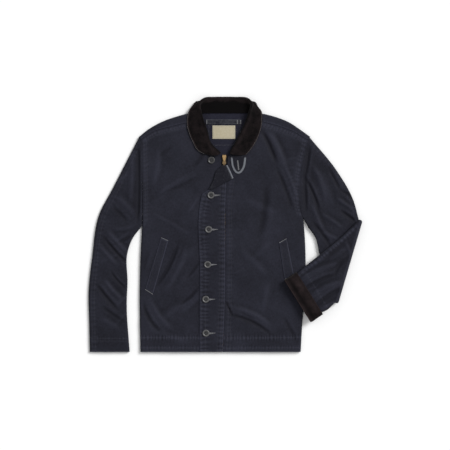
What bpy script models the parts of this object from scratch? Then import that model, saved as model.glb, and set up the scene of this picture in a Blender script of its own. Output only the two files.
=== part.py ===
"""Deck jacket, zipped and laid flat with its front up.

The jacket lies on the ground plane: +X is to the right of someone looking down at it, +Y runs
from the hem to the collar and +Z is up. Left and right in names are the wearer's own, so the
right sleeve is the one at -X. Outlines are given in pixels of the plan picture (x to the right,
y down) and become metres through PIXEL and CENTRE; thicknesses and heights are metres.
"""

import math

import bpy
import numpy as np

# Scale of the plan picture, and the pixel over the origin
PIXEL = 0.00285
CENTRE = (224.93, 224.73)

# Cloth walls, metres
CLOTH = 0.0030
FLAP_CLOTH = 0.0022
CORD_CLOTH = 0.0025
LINING = 0.0010
SEAM = 0.0003
WELT_CLOTH = 0.0018
LOOP_CLOTH = 0.0014
LABEL_CLOTH = 0.0008
TAPE_CLOTH = 0.0012

# Layers, metres above the ground
LAYER = 0.0093                 # two walls and the slack between them
HALF = LAYER / 2
FRONT_TOP = LAYER
EDGE_REACH = 0.0068            # how far in from a side edge its roll begins
FOLD_RADIUS = 0.0060           # of the elbow fold, to the middle of the tube
CUFF_RISE = 0.0030             # how far the forearm climbs between the fold and its cuff
CUFF_WIDTH = 0.1370
CUFF_LENGTH = 0.0400
CUFF_BACK = 0.0010             # how far the turned-back cuff stands out past the sleeve's end
TAPE_LIFT = 0.0025             # room for the slider's foot under the zip tape

# Shares of the way up the body at which one boundary curve hands over to the next
ARMPIT = 0.62
SHOULDER_START = 0.70          # side edges roll below the armpit and lie flat above this
NECK_CORNER = 0.42
FLAP_CORNER = 0.86
SLEEVE_SEAM = 0.06             # outer seam of a sleeve, as a share of its width
SIDE_TO_SHOULDER = 230.0       # picture pixels from the hem to the shoulders' edge
SHOULDER_GAP = 0.35            # picture pixels between the forward seam's two pieces

# Fastenings, metres
BUTTON_DIAMETER = 0.0195
BUTTON_HEIGHT = 0.0032
SLIDER_WIDTH = 0.0110
SLIDER_LENGTH = 0.0185
PULL_WIDTH = 0.0100
PULL_LENGTH = 0.0115
PULL_THICK = 0.0012
BAIL_WIDTH = 0.0024
BAIL_BAR = 0.0008
BAIL_ROOM = 0.0012             # half of the square eye of the bail
HINGE_HEIGHT = 0.0108
HINGE_PIXEL = (224.3, 160.4)

# Outlines in picture pixels, each from the hem upwards or from the neck outwards
RIGHT_SIDE = ((140.3, 352.0), (139.6, 318.0), (139.6, 283.0), (140.6, 250.0), (141.9, 226.0))
RIGHT_ARMHOLE = ((141.9, 226.0), (142.6, 205.0), (142.3, 183.0), (141.6, 160.0), (141.0, 139.6))
LEFT_SIDE = (
    (300.8, 352.0), (302.4, 324.0), (305.2, 290.0), (305.8, 265.0), (304.8, 235.0), (303.3, 217.6),
)
LEFT_ARMHOLE = ((303.3, 217.6), (300.4, 207.0), (299.5, 187.0), (302.4, 163.5), (308.0, 140.0))
RIGHT_FRONT_EDGE = (
    (221.6, 352.0), (222.4, 303.0), (222.8, 220.0), (222.6, 180.0), (221.4, 166.0), (220.6, 156.5),
)
LEFT_FRONT_EDGE = (
    (222.8, 352.0), (224.4, 303.0), (225.2, 220.0), (225.8, 180.0), (227.2, 166.0), (228.2, 156.5),
)
RIGHT_NECKLINE = ((220.6, 156.5), (211.0, 151.5), (205.0, 142.0), (200.0, 130.0), (192.5, 121.6))
LEFT_NECKLINE = ((228.2, 156.5), (238.5, 150.0), (245.0, 139.0), (251.0, 128.0), (257.5, 120.6))
RIGHT_SHOULDER_SEAM = ((192.5, 121.6), (172.0, 126.4), (153.5, 131.8), (141.0, 139.6))
LEFT_SHOULDER_SEAM = ((257.5, 120.6), (276.0, 125.4), (292.0, 131.0), (308.0, 140.0))
RIGHT_SHOULDER_EDGE = ((190.5, 112.9), (175.0, 116.8), (161.0, 122.0), (147.7, 129.6), (138.2, 137.3))
LEFT_SHOULDER_EDGE = ((260.5, 113.1), (275.0, 116.6), (288.8, 122.0), (300.5, 129.6), (310.2, 136.6))
BACK_TOP = (
    (138.2, 137.3), (147.7, 129.6), (161.0, 122.0), (175.0, 116.8), (190.5, 112.9), (208.0, 112.4),
    (242.0, 112.4), (260.5, 113.1), (275.0, 116.6), (288.8, 122.0), (300.5, 129.6), (310.2, 136.6),
)

# Right sleeve: edges from the cuff to the shoulder
RIGHT_SLEEVE_OUTER = (
    (89.5, 352.0), (88.9, 322.0), (88.3, 293.0), (91.8, 258.0), (99.3, 213.7), (111.9, 189.6), (137.6, 138.2),
)
RIGHT_SLEEVE_INNER = (
    (129.5, 352.0), (126.6, 302.7), (127.4, 283.0), (127.4, 252.4), (132.2, 239.0), (141.6, 226.4),
)
RIGHT_SLEEVE_HEAD = (
    (137.6, 138.2), (139.9, 142.0), (141.1, 160.0), (142.0, 183.0), (142.3, 205.0), (141.6, 226.4),
)

# Left sleeve: upper arm from the fold to the shoulder, forearm from the cuff to the fold
UPPER_ARM_OUTER = ((359.0, 219.6), (353.5, 200.0), (337.2, 171.0), (310.4, 137.0))
UPPER_ARM_INNER = (
    (334.6, 302.6), (329.0, 280.0), (319.6, 254.4), (315.6, 238.0), (308.4, 227.3), (303.8, 218.2),
)
LEFT_SLEEVE_HEAD = (
    (310.4, 137.0), (308.6, 140.4), (303.0, 163.5), (300.1, 187.0), (301.0, 207.0), (303.8, 218.2),
)
FOREARM_TOP = ((285.8, 281.3), (291.7, 277.2), (306.2, 265.0), (319.8, 254.4), (340.0, 238.0), (359.0, 219.6))
FOREARM_BOTTOM = ((309.8, 319.6), (317.0, 314.0), (327.0, 309.6), (334.6, 302.6))

# Soft folds: a row is its two ends in picture pixels, then its half width and height in metres
FRONT_FOLDS = (
    # x0, y0, x1, y1, half width, height
    (166.0, 290.0, 196.0, 246.0, 0.0085, 0.0026),
    (176.0, 252.0, 192.0, 222.0, 0.0075, 0.0020),
    (160.0, 322.0, 196.0, 282.0, 0.0090, 0.0020),
    (150.0, 205.0, 172.0, 180.0, 0.0080, 0.0022),
    (266.0, 142.0, 277.0, 172.0, 0.0070, 0.0026),
    (286.0, 150.0, 294.0, 190.0, 0.0080, 0.0024),
    (228.0, 305.0, 268.0, 332.0, 0.0085, 0.0028),
    (240.0, 250.0, 268.0, 276.0, 0.0090, 0.0016),
    (244.0, 200.0, 276.0, 214.0, 0.0090, 0.0018),
    (150.0, 330.0, 190.0, 344.0, 0.0070, 0.0014),
)
RIGHT_SLEEVE_FOLDS = (
    (106.0, 241.0, 126.0, 262.0, 0.0075, 0.0030),
    (110.0, 280.0, 122.0, 303.0, 0.0070, 0.0026),
    (97.0, 268.0, 112.0, 300.0, 0.0070, 0.0020),
    (117.0, 197.0, 134.0, 214.0, 0.0090, 0.0026),
    (122.0, 172.0, 130.0, 212.0, 0.0080, 0.0022),
    (100.0, 318.0, 120.0, 330.0, 0.0070, 0.0018),
)
UPPER_ARM_FOLDS = (
    (318.0, 168.0, 332.0, 205.0, 0.0085, 0.0028),
    (334.0, 186.0, 352.0, 214.0, 0.0080, 0.0030),
    (310.0, 200.0, 326.0, 232.0, 0.0080, 0.0022),
)
FOREARM_FOLDS = (
    (310.0, 272.0, 342.0, 252.0, 0.0075, 0.0028),
    (306.0, 290.0, 338.0, 284.0, 0.0080, 0.0030),
    (322.0, 300.0, 346.0, 262.0, 0.0075, 0.0022),
)

# Collar, one row per section from the right front end round the back to the left front end:
# seam end of the stand (x, y pixels, z metres), middle of the roll (x, y, z), the roll's lean in
# degrees (0 opens outwards, 90 stands, 180 lies back), and free edge of the fall (x, y, z)
ROLL_RADIUS = 0.0040
COLLAR_BEND = 0.35             # bend of the stand and the fall, as a share of their width
COLLAR = (
    # seam x, seam y, seam z, roll x, roll y, roll z, lean, edge x, edge y, edge z
    (214.5, 154.6, 0.0098, 220.0, 153.6, 0.0140, 0.0, 204.6, 154.2, 0.0124),
    (206.8, 148.4, 0.0098, 212.4, 146.6, 0.0142, 0.0, 197.2, 150.0, 0.0124),
    (202.6, 141.4, 0.0098, 208.6, 140.4, 0.0145, 2.0, 192.6, 142.0, 0.0124),
    (200.4, 132.2, 0.0098, 206.2, 131.0, 0.0150, 6.0, 189.0, 133.4, 0.0124),
    (198.0, 122.6, 0.0100, 202.8, 120.8, 0.0168, 16.0, 186.8, 123.6, 0.0124),
    (199.6, 115.2, 0.0100, 201.0, 112.4, 0.0198, 48.0, 187.2, 113.6, 0.0126),
    (203.2, 113.0, 0.0090, 201.8, 105.4, 0.0176, 105.0, 193.2, 107.4, 0.0060),
    (208.4, 112.8, 0.0078, 206.6, 100.0, 0.0086, 155.0, 203.4, 109.6, 0.0006),
    (215.0, 112.8, 0.0074, 214.6, 98.9, 0.0044, 180.0, 214.0, 110.6, 0.0003),
    (225.0, 112.8, 0.0074, 225.0, 98.9, 0.0044, 180.0, 225.0, 110.6, 0.0003),
    (235.0, 112.8, 0.0074, 235.8, 98.9, 0.0044, 180.0, 236.0, 110.6, 0.0003),
    (241.8, 112.8, 0.0078, 245.2, 100.0, 0.0086, 155.0, 248.2, 109.6, 0.0006),
    (246.6, 113.0, 0.0090, 249.2, 105.8, 0.0176, 105.0, 257.4, 107.8, 0.0060),
    (249.8, 115.6, 0.0100, 248.8, 113.0, 0.0198, 48.0, 262.2, 114.2, 0.0126),
    (251.2, 123.6, 0.0100, 246.6, 121.8, 0.0168, 16.0, 261.8, 124.6, 0.0124),
    (248.4, 134.2, 0.0098, 242.6, 131.2, 0.0150, 6.0, 259.0, 135.0, 0.0124),
    (244.2, 141.6, 0.0098, 238.6, 138.8, 0.0145, 2.0, 255.0, 143.6, 0.0124),
    (240.2, 148.8, 0.0098, 234.6, 145.8, 0.0142, 0.0, 250.4, 150.2, 0.0124),
    (235.6, 155.0, 0.0098, 230.2, 153.8, 0.0140, 0.0, 246.4, 154.6, 0.0124),
)

# Flat trims in picture pixels: corners from the lower left, going round to the left
LINING_OUTLINE = ((216.0, 158.0), (233.0, 158.0), (249.0, 113.2), (201.0, 113.2))
LOOP_OUTLINE = ((205.8, 124.2), (241.2, 124.2), (241.2, 119.4), (205.8, 119.4))
LABEL_OUTLINE = ((212.5, 138.7), (235.2, 138.7), (235.2, 125.4), (212.5, 125.4))
TAB_OUTLINE = ((238.0, 174.2), (243.6, 170.4), (246.0, 155.6), (231.0, 155.6))
RIGHT_WELT = ((147.7, 285.6), (155.8, 291.0), (168.6, 241.0), (162.2, 238.2))
LEFT_WELT = ((284.4, 278.6), (293.9, 275.6), (286.6, 238.6), (279.2, 243.2))
FLAP_FREE_EDGE = ((199.5, 351.4), (199.8, 270.0), (200.8, 200.0), (202.0, 194.6), (208.4, 190.0))
FLAP_FOLD = ((208.4, 190.0), (213.0, 181.0), (216.4, 171.0), (221.8, 165.2))
FLAP_ROOT = ((222.6, 351.4), (224.6, 303.0), (225.8, 190.0), (227.4, 165.2))
FACING_FOLD = ((208.8, 189.0), *FLAP_FOLD[1:])
FACING_EDGE = ((211.6, 190.2), (233.4, 178.2), (230.8, 172.0), (227.6, 165.4))
ZIP_LINE = ((222.2, 351.0), (223.6, 303.0), (224.2, 240.0), (224.3, 157.5))
FACING_PUFF = 0.0010           # metres that the turned-back corner swells
ZIP_TAPE_WIDTH = 0.0220
BUTTONS = ((211.4, 160.2), (211.0, 195.2), (208.6, 229.4), (207.6, 264.5), (205.8, 299.2), (206.0, 333.0))


def metres(points):
    """Plan place in metres of points in picture pixels."""
    offset = (np.asarray(points, float) - CENTRE) * PIXEL
    return np.stack([offset[..., 0], -offset[..., 1]], -1)


def curve(points, t):
    """Smooth curve through points at t, 0 to 1 of its length: cubic pieces whose slope at each
    point is the mean of its neighbours' slopes, weighted by the nearer one."""
    knots = np.asarray(points, float)
    steps = np.linalg.norm(np.diff(knots, axis=0), axis=1)
    at = np.concatenate([[0.0], np.cumsum(steps)])
    slopes = np.diff(knots, axis=0) / steps[:, None]
    inner = (slopes[:-1] * steps[1:, None] + slopes[1:] * steps[:-1, None]) / (steps[:-1] + steps[1:])[:, None]
    tangents = np.concatenate([slopes[:1], inner, slopes[-1:]])
    where = np.clip(np.asarray(t, float), 0.0, 1.0) * at[-1]
    k = np.clip(np.searchsorted(at, where, side="right") - 1, 0, len(steps) - 1)
    length = steps[k][..., None]
    f = (where - at[k])[..., None] / length
    return (
        (2 * f**3 - 3 * f**2 + 1) * knots[k]
        + (f**3 - 2 * f**2 + f) * length * tangents[k]
        + (3 * f**2 - 2 * f**3) * knots[k + 1]
        + (f**3 - f**2) * length * tangents[k + 1]
    )


def along(points):
    """Boundary function of one smooth curve."""
    return lambda t: curve(points, t)


def joined(first, second, share):
    """Boundary function of two smooth curves that meet in a corner at the given share."""

    def place(t):
        t = np.asarray(t, float)
        before = curve(first, np.clip(t / share, 0, 1))
        after = curve(second, np.clip((t - share) / (1 - share), 0, 1))
        return np.where((t < share)[..., None], before, after)

    return place


def patch(bottom, top, left, right):
    """Surface between four boundaries: the sum of both ruled surfaces less the bilinear one."""

    def place(s, v):
        s, v = np.broadcast_arrays(np.asarray(s, float), np.asarray(v, float))
        corner = [b(np.array(e)) for b in (bottom, top) for e in (0.0, 1.0)]
        a, b = s[..., None], v[..., None]
        ruled = (1 - b) * bottom(s) + b * top(s) + (1 - a) * left(v) + a * right(v)
        flat = (1 - b) * ((1 - a) * corner[0] + a * corner[1]) + b * ((1 - a) * corner[2] + a * corner[3])
        return ruled - flat

    return place


def smoothstep(value, low, high):
    """0 below low, 1 above high and a soft step between."""
    t = np.clip((np.asarray(value, float) - low) / (high - low), 0.0, 1.0)
    return t * t * (3 - 2 * t)


def fold_height(pixels, folds):
    """Height of the soft folds at plan points: bell sections, faded out at both ends."""
    height = np.zeros(pixels.shape[:-1])
    for x0, y0, x1, y1, half_width, rise in folds:
        start, end = np.array([x0, y0]), np.array([x1, y1])
        length = np.linalg.norm(end - start)
        run = (end - start) / length
        offset = pixels - start
        forward = (offset @ run) / length
        aside = (offset[..., 0] * run[1] - offset[..., 1] * run[0]) * PIXEL
        fade = smoothstep(forward, -0.1, 0.25) * (1 - smoothstep(forward, 0.75, 1.1))
        height += rise * fade * np.exp(-((aside / half_width) ** 2))
    return height


def flat_columns(count, first=0.0, last=1.0):
    """Section columns over a flat stretch: share of the width, sines at the two edges, level."""
    share = np.linspace(first, last, count)
    return np.stack([share, 0 * share, 0 * share, 1 + 0 * share], 1)


def edge_columns(angles, right):
    """Section columns round an edge, by angle from the top: 90 is the edge, 180 is underneath."""
    turn = np.radians(np.asarray(angles, float))
    share = np.full_like(turn, 1.0 if right else 0.0)
    sine = np.sin(turn)
    sines = (0 * sine, sine) if right else (sine, 0 * sine)
    return np.stack([share, *sines, np.cos(turn)], 1)


def edge_slants(surface, v):
    """How much wider a rolled edge is across a section than square to the edge, at both edges."""
    low, high = surface(0.0, v), surface(1.0, v)
    if len(v) < 2:
        return np.ones((len(v), 1)), np.ones((len(v), 1))
    across = unit(high - low)
    fade = (smoothstep(v, 0.0, 0.12) * smoothstep(1 - v, 0.0, 0.12))[:, None]
    slants = []
    for edge in (low, high):
        run = unit(np.gradient(edge, axis=0))
        square = np.abs(across[:, 0] * run[:, 1] - across[:, 1] * run[:, 0])
        slants.append(1 + fade * (1 / np.clip(square, 0.6, 1.0)[:, None] - 1))
    return slants


def section_places(surface, rows, columns, left_roll, right_roll):
    """Plan pixels and level of each grid point: a column's place across is counted in from the
    edges by the radius of the rolled edge, so the section is a flattened ring."""
    radius = EDGE_REACH / PIXEL
    v = rows[:, None]
    width = np.linalg.norm(surface(1.0, v) - surface(0.0, v), axis=-1)
    left_slant, right_slant = edge_slants(surface, rows)
    share, left_sine, right_sine, level = (columns[None, :, k] for k in range(4))
    rl, rr = radius * left_roll * left_slant, radius * right_roll * right_slant
    across = rl * (1 - left_sine) + share * (width - rl - rr) + rr * right_sine
    return surface(across / width, v + 0 * across), level + 0 * across


def material(name, colour, roughness, metallic=0.0):
    """Principled material of one finish, made once."""
    made = bpy.data.materials.get(name)
    if made is None:
        made = bpy.data.materials.new(name)
        made.use_nodes = True
        made.diffuse_color = (*colour, 1.0)
        shader = made.node_tree.nodes["Principled BSDF"]
        shader.inputs["Base Color"].default_value = (*colour, 1.0)
        shader.inputs["Roughness"].default_value = roughness
        shader.inputs["Metallic"].default_value = metallic
    return made


def add_object(name, points, faces, finish):
    """Mesh object of the given points and faces, smooth but for its sharp edges."""
    mesh = bpy.data.meshes.new(name)
    mesh.from_pydata([tuple(p) for p in points], [], faces)
    mesh.validate()
    mesh.materials.append(finish)
    mesh.shade_smooth()
    mesh.set_sharp_from_angle(angle=math.radians(50))
    made = bpy.data.objects.new(name, mesh)
    bpy.context.collection.objects.link(made)
    return made


def grid_normals(points, around=False):
    """Unit normals of a grid of points, from the differences along its rows and columns."""
    if around:
        ring = np.concatenate([points[:, -1:], points, points[:, :1]], 1)
        across = np.gradient(ring, axis=1)[:, 1:-1]
    else:
        across = np.gradient(points, axis=1)
    normals = np.cross(across, np.gradient(points, axis=0))
    return normals / np.linalg.norm(normals, axis=-1)[..., None]


def unit(vectors):
    """Vectors scaled to length 1."""
    return vectors / np.linalg.norm(vectors, axis=-1)[..., None]


def wall(name, outer, thickness, finish, flip=False, borders=(), around=False):
    """Closed cloth wall: a grid of outer points and the same grid moved in by the thickness,
    joined by a rim. A border is an index, the way it faces and how much it is turned that way."""
    normals = grid_normals(outer, around) * (-1.0 if flip else 1.0)
    for where, facing, share in borders:
        run = unit(np.gradient(outer[where], axis=0))
        square = unit(facing - (facing * run).sum(-1, keepdims=True) * run)
        normals[where] = unit(normals[where] * (1 - share) + square * share)
    inner = outer - thickness * normals
    rows, columns = outer.shape[:2]
    index = np.arange(rows * columns).reshape(rows, columns)
    if around:
        index = np.concatenate([index, index[:, :1]], 1)
    quads = np.stack([index[:-1, :-1], index[:-1, 1:], index[1:, 1:], index[1:, :-1]], -1).reshape(-1, 4)
    below = quads[:, ::-1] + rows * columns
    if around:
        loops = [index[0], index[-1][::-1]]
    else:
        loops = [np.concatenate([index[0], index[1:, -1], index[-1, -2::-1], index[-2::-1, 0]])]
    rim = [np.stack([p[1:], p[:-1], p[:-1] + rows * columns, p[1:] + rows * columns], -1) for p in loops]
    faces = np.concatenate([quads, below, *rim])
    if flip:
        faces = faces[:, ::-1]
    points = np.concatenate([outer.reshape(-1, 3), inner.reshape(-1, 3)])
    add_object(name, points, faces.tolist(), finish)


def lifted(pixels, height):
    """Points in metres from plan pixels and heights."""
    return np.concatenate([metres(pixels), np.asarray(height)[..., None]], -1)


def front_height(pixels):
    """Height of the outer face of both fronts."""
    return FRONT_TOP + fold_height(pixels, FRONT_FOLDS)


def body_rows(count):
    """Rows of a body panel from the hem to where its armhole lies flat."""
    return np.concatenate([np.linspace(0, ARMPIT, count), np.linspace(ARMPIT, SHOULDER_START, 4)[1:]])


def front(name, bottom_ends, side, armhole, edge, neckline, seam, flip, finish):
    """One front: from its zip edge across to the side, rolled down along the side seam."""
    surface = patch(
        along(bottom_ends), joined(neckline, seam, NECK_CORNER), along(edge), joined(side, armhole, ARMPIT)
    )
    rows = np.concatenate([body_rows(9), np.linspace(SHOULDER_START, 1.0, 6)[1:]])
    columns = np.concatenate([flat_columns(13), edge_columns((30, 60, 90), True)])
    pixels, level = section_places(surface, rows, columns, 0.0, 1.0)
    rolled = 1 - smoothstep(rows, ARMPIT, SHOULDER_START)[:, None]
    drop = (HALF - SEAM / 2) * (1 - level) * rolled
    outer = lifted(pixels, front_height(pixels) - drop)
    across = (outer[:, -1] - outer[:, 0]) * (1, 1, 0)
    wall(name, outer, CLOTH, finish, flip, [((slice(None), -1), across, rolled)])


def build_fronts(finish):
    front("front_right", ((221.6, 352.0), (140.3, 352.0)), RIGHT_SIDE, RIGHT_ARMHOLE,
          RIGHT_FRONT_EDGE, RIGHT_NECKLINE, RIGHT_SHOULDER_SEAM, True, finish)
    front("front_left", ((222.8, 352.0), (300.8, 352.0)), LEFT_SIDE, LEFT_ARMHOLE,
          LEFT_FRONT_EDGE, LEFT_NECKLINE, LEFT_SHOULDER_SEAM, False, finish)


def build_shoulders(finish):
    """Shoulder strips from the forward seam over the shoulder's edge."""
    gap = np.array([0.0, -SHOULDER_GAP])
    for name, seam, edge, flip in (
        ("shoulder_right", RIGHT_SHOULDER_SEAM, RIGHT_SHOULDER_EDGE, True),
        ("shoulder_left", LEFT_SHOULDER_SEAM, LEFT_SHOULDER_EDGE, False),
    ):
        inner = np.array(seam) + gap
        surface = patch(along((inner[0], edge[0])), along((inner[-1], edge[-1])), along(inner), along(edge))
        rows = np.linspace(0.0, 0.985, 9)
        columns = np.concatenate([flat_columns(3), edge_columns((30, 60, 90), True)])
        pixels, level = section_places(surface, rows, columns, 0.0, 0.8)
        outer = lifted(pixels, FRONT_TOP - (HALF - SEAM / 2) * (1 - level))
        across = (outer[:, -1] - outer[:, 0]) * (1, 1, 0)
        wall(name, outer, CLOTH, finish, not flip, [((slice(None), -1), across, 1.0)])


def build_back(finish):
    """Back: flat underneath, rolled up to the side seams and the shoulders."""
    left_edge = joined(RIGHT_SIDE, (*RIGHT_ARMHOLE, BACK_TOP[0]), ARMPIT)
    right_edge = joined(LEFT_SIDE, (*LEFT_ARMHOLE, BACK_TOP[-1]), ARMPIT)
    surface = patch(along((RIGHT_SIDE[0], LEFT_SIDE[0])), along(BACK_TOP), left_edge, right_edge)
    turn = np.radians((0.0, 30.0, 60.0, 90.0))
    top_rows = 1 - EDGE_REACH / PIXEL * (1 - np.sin(turn)) / SIDE_TO_SHOULDER
    middle_rows = np.linspace(SHOULDER_START, top_rows[0], 5)[1:-1]
    rows = np.concatenate([body_rows(8), middle_rows, top_rows])
    top_level = np.concatenate([np.ones(len(rows) - 4), np.cos(turn)])[:, None]
    columns = np.concatenate(
        [edge_columns((90, 60, 30), False), flat_columns(15), edge_columns((30, 60, 90), True)]
    )
    pixels, level = section_places(surface, rows, columns, 1.0, 1.0)
    rolled = 1 - smoothstep(rows, ARMPIT, SHOULDER_START)[:, None]
    neck = smoothstep(pixels[..., 0], 184, 192) * (1 - smoothstep(pixels[..., 0], 258, 266))
    rise = np.maximum((1 - level) * rolled, (1 - top_level) * (1 - neck))
    outer = lifted(pixels, (HALF - SEAM / 2) * rise)
    across = (outer[:, -1] - outer[:, 0]) * (1, 1, 0)
    along_top = np.gradient(outer[-1], axis=0)
    top_out = np.stack([-along_top[:, 1], along_top[:, 0], 0 * along_top[:, 0]], 1)
    borders = [
        ((slice(None), 0), -across, rolled),
        ((slice(None), -1), across, rolled),
        ((-1, slice(None)), top_out, (1 - neck[-1])[:, None]),
    ]
    wall("back", outer, CLOTH, finish, True, borders)


def ring_columns(flat_count):
    """Columns of a two-piece sleeve: the upper piece from the seam to the inner edge, and the
    under piece from the seam round the outer edge and underneath to the inner edge."""
    upper = np.concatenate([flat_columns(flat_count, SLEEVE_SEAM, 1.0), edge_columns((30, 60, 87), True)])
    below = flat_columns(flat_count)
    below[:, 3] = -1.0
    from_seam = flat_columns(2, SLEEVE_SEAM - 0.005, 0.0)
    outer_edge = edge_columns((30, 60, 90, 120, 150), False)
    inner_edge = edge_columns((150, 120, 93), True)
    return upper, np.concatenate([from_seam, outer_edge, below, inner_edge])


def build_right_sleeve(finish):
    """Right sleeve: a flattened tube straight down to its cuff."""
    surface = patch(
        along((RIGHT_SLEEVE_OUTER[0], RIGHT_SLEEVE_INNER[0])), along(RIGHT_SLEEVE_HEAD),
        along(RIGHT_SLEEVE_OUTER), along(RIGHT_SLEEVE_INNER),
    )
    rows = np.linspace(0.0, 1.0, 17)
    upper, under = ring_columns(8)
    for name, columns, flip in (("sleeve_right_top", upper, False), ("sleeve_right_under", under, True)):
        pixels, level = section_places(surface, rows, columns, 1.0, 1.0)
        soft = np.clip(level, 0.0, 1.0) * fold_height(pixels, RIGHT_SLEEVE_FOLDS)
        outer = lifted(pixels, HALF * (1 + level) + soft)
        facing = lifted(surface(1.0, rows), 0 * rows) - lifted(surface(0.0, rows), 0 * rows)
        wall(name, outer, CLOTH, finish, flip, [((slice(None), -1), facing, 1.0)])


def fold_frame():
    """Ends of the elbow fold in pixels and its outward normal in the plan, as metres."""
    outer, inner = np.array(UPPER_ARM_OUTER[0]), np.array(UPPER_ARM_INNER[0])
    run = metres(inner) - metres(outer)
    run /= np.linalg.norm(run)
    return outer, inner, np.array([-run[1], run[0], 0.0])


def left_sleeve_grid(columns):
    """Outer points of the left sleeve: upper arm, half turn round the elbow fold, forearm."""
    upper = patch(
        along((UPPER_ARM_OUTER[0], UPPER_ARM_INNER[0])), along(LEFT_SLEEVE_HEAD),
        along(UPPER_ARM_OUTER), along(UPPER_ARM_INNER),
    )
    fore = patch(
        along((FOREARM_TOP[0], FOREARM_BOTTOM[0])), along((FOREARM_TOP[-1], FOREARM_BOTTOM[-1])),
        along(FOREARM_TOP), along(FOREARM_BOTTOM),
    )
    up = np.array([0.0, 0.0, 1.0])
    pixels, level = section_places(upper, np.linspace(1.0, 0.0, 9), columns, 1.0, 1.0)
    soft = np.clip(level, 0.0, 1.0) * fold_height(pixels, UPPER_ARM_FOLDS)
    arm = lifted(pixels, HALF * (1 + level) + soft)
    normal = fold_frame()[2]
    edge_pixels, edge_level = section_places(upper, np.array([0.02, 0.0]), columns, 1.0, 1.0)
    edge_pixels, edge_level = edge_pixels[1:], edge_level[1:]
    middle = lifted(edge_pixels[0], np.full(len(columns), HALF))
    turns = []
    for angle in np.radians((36, 72, 108, 144)):
        centre = middle + FOLD_RADIUS * (math.sin(angle) * normal + (1 - math.cos(angle)) * up)
        across = math.cos(angle) * up - math.sin(angle) * normal
        turns.append(centre + HALF * edge_level[0][:, None] * across)
    rows = np.linspace(1.0, 0.0, 10)
    pixels, level = section_places(fore, rows, columns, 1.0, 1.0)
    soft = np.clip(-level, 0.0, 1.0) * fold_height(pixels, FOREARM_FOLDS)
    rise = CUFF_RISE * smoothstep(1 - rows, 0.0, 0.7)[:, None]
    forearm = lifted(pixels, HALF * (1 - level) + 2 * FOLD_RADIUS + rise + soft)
    return np.concatenate([arm, np.array(turns), forearm])


def build_left_sleeve(finish):
    """Left sleeve folded at the elbow, in two pieces."""
    upper, under = ring_columns(8)
    for name, columns, flip in (("sleeve_left_top", upper, False), ("sleeve_left_under", under, True)):
        outer = left_sleeve_grid(columns)
        ends = left_sleeve_grid(np.concatenate([edge_columns((90,), False), edge_columns((90,), True)]))
        facing = ends[:, 1] - ends[:, 0]
        wall(name, outer, CLOTH, finish, flip, [((slice(None), -1), facing, 1.0)])


def build_cuff(finish):
    """Turned-back corduroy cuff: a flattened ring round the forearm's end."""
    ends = metres(np.array([FOREARM_TOP[0], FOREARM_BOTTOM[0]]))
    run = unit(ends[1] - ends[0])
    along_sleeve = np.array([-run[1], run[0]])
    radius = HALF + CORD_CLOTH + SEAM
    angle = np.linspace(0, 2 * math.pi, 25)[:-1]
    flat = (CUFF_WIDTH / 2 - radius) * np.clip(1.6 * np.cos(angle), -1.0, 1.0)
    across = flat + radius * np.cos(angle)
    height = HALF + 2 * FOLD_RADIUS + CUFF_RISE + radius * np.sin(angle)
    rings = []
    for step in np.linspace(-CUFF_BACK, CUFF_LENGTH - CUFF_BACK, 5):
        plan = ends.mean(0) + along_sleeve * step + across[:, None] * run
        rings.append(np.concatenate([plan, height[:, None]], 1))
    wall("cuff_left", np.array(rings), CORD_CLOTH, finish, around=True)


def build_collar(finish):
    """Collar: stand, roll and fall as one wall. A section runs from the seam to a half circle
    about the roll and on to the free edge, both stretches as quadratic curves."""
    columns = smooth_table(np.array(COLLAR), np.linspace(0, 1, 33))
    seam = lifted(columns[:, 0:2], columns[:, 2])
    roll = lifted(columns[:, 3:5], columns[:, 5])
    edge = lifted(columns[:, 7:9], columns[:, 9])
    lean = np.radians(columns[:, 6])[:, None]
    tangent = np.gradient(roll[:, :2], axis=0)
    tangent /= np.linalg.norm(tangent, axis=1)[:, None]
    outward = np.stack([-tangent[:, 1], tangent[:, 0], 0 * tangent[:, 0]], 1)
    up = np.array([0.0, 0.0, 1.0])
    inside = np.cos(lean) * outward - np.sin(lean) * up
    stand_side = -np.sin(lean) * outward - np.cos(lean) * up
    section = []
    first = roll + ROLL_RADIUS * stand_side
    last = roll - ROLL_RADIUS * stand_side
    bend = first + inside * COLLAR_BEND * np.linalg.norm(seam - first, axis=1)[:, None]
    for f in np.linspace(0, 1, 5)[:-1]:
        section.append((1 - f) ** 2 * seam + 2 * f * (1 - f) * bend + f * f * first)
    for angle in np.radians((0, 45, 90, 135, 180)):
        section.append(roll + ROLL_RADIUS * (math.cos(angle) * stand_side - math.sin(angle) * inside))
    bend = last + inside * COLLAR_BEND * np.linalg.norm(edge - last, axis=1)[:, None]
    for f in np.linspace(0, 1, 6)[1:]:
        section.append((1 - f) ** 2 * last + 2 * f * (1 - f) * bend + f * f * edge)
    wall("collar", np.stack(section, 1), CORD_CLOTH, finish, True)


def smooth_table(table, t):
    """Rows of a table at t, 0 to 1 of its rows: cubic pieces whose slope at each row is half of
    the step between its neighbours."""
    slopes = np.gradient(table, axis=0)
    where = t * (len(table) - 1)
    k = np.clip(np.floor(where).astype(int), 0, len(table) - 2)
    f = (where - k)[:, None]
    return (
        (2 * f**3 - 3 * f**2 + 1) * table[k]
        + (f**3 - 2 * f**2 + f) * slopes[k]
        + (3 * f**2 - 2 * f**3) * table[k + 1]
        + (f**3 - f**2) * slopes[k + 1]
    )


def four_sided(outline, columns, rows):
    """Grid of plan pixels between four corners."""
    low_left, low_right, high_right, high_left = (np.array(p) for p in outline)
    surface = patch(along((low_left, low_right)), along((high_left, high_right)),
                    along((low_left, high_left)), along((low_right, high_right)))
    s, v = np.meshgrid(np.linspace(0, 1, columns), np.linspace(0, 1, rows))
    return surface(s, v)


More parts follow.
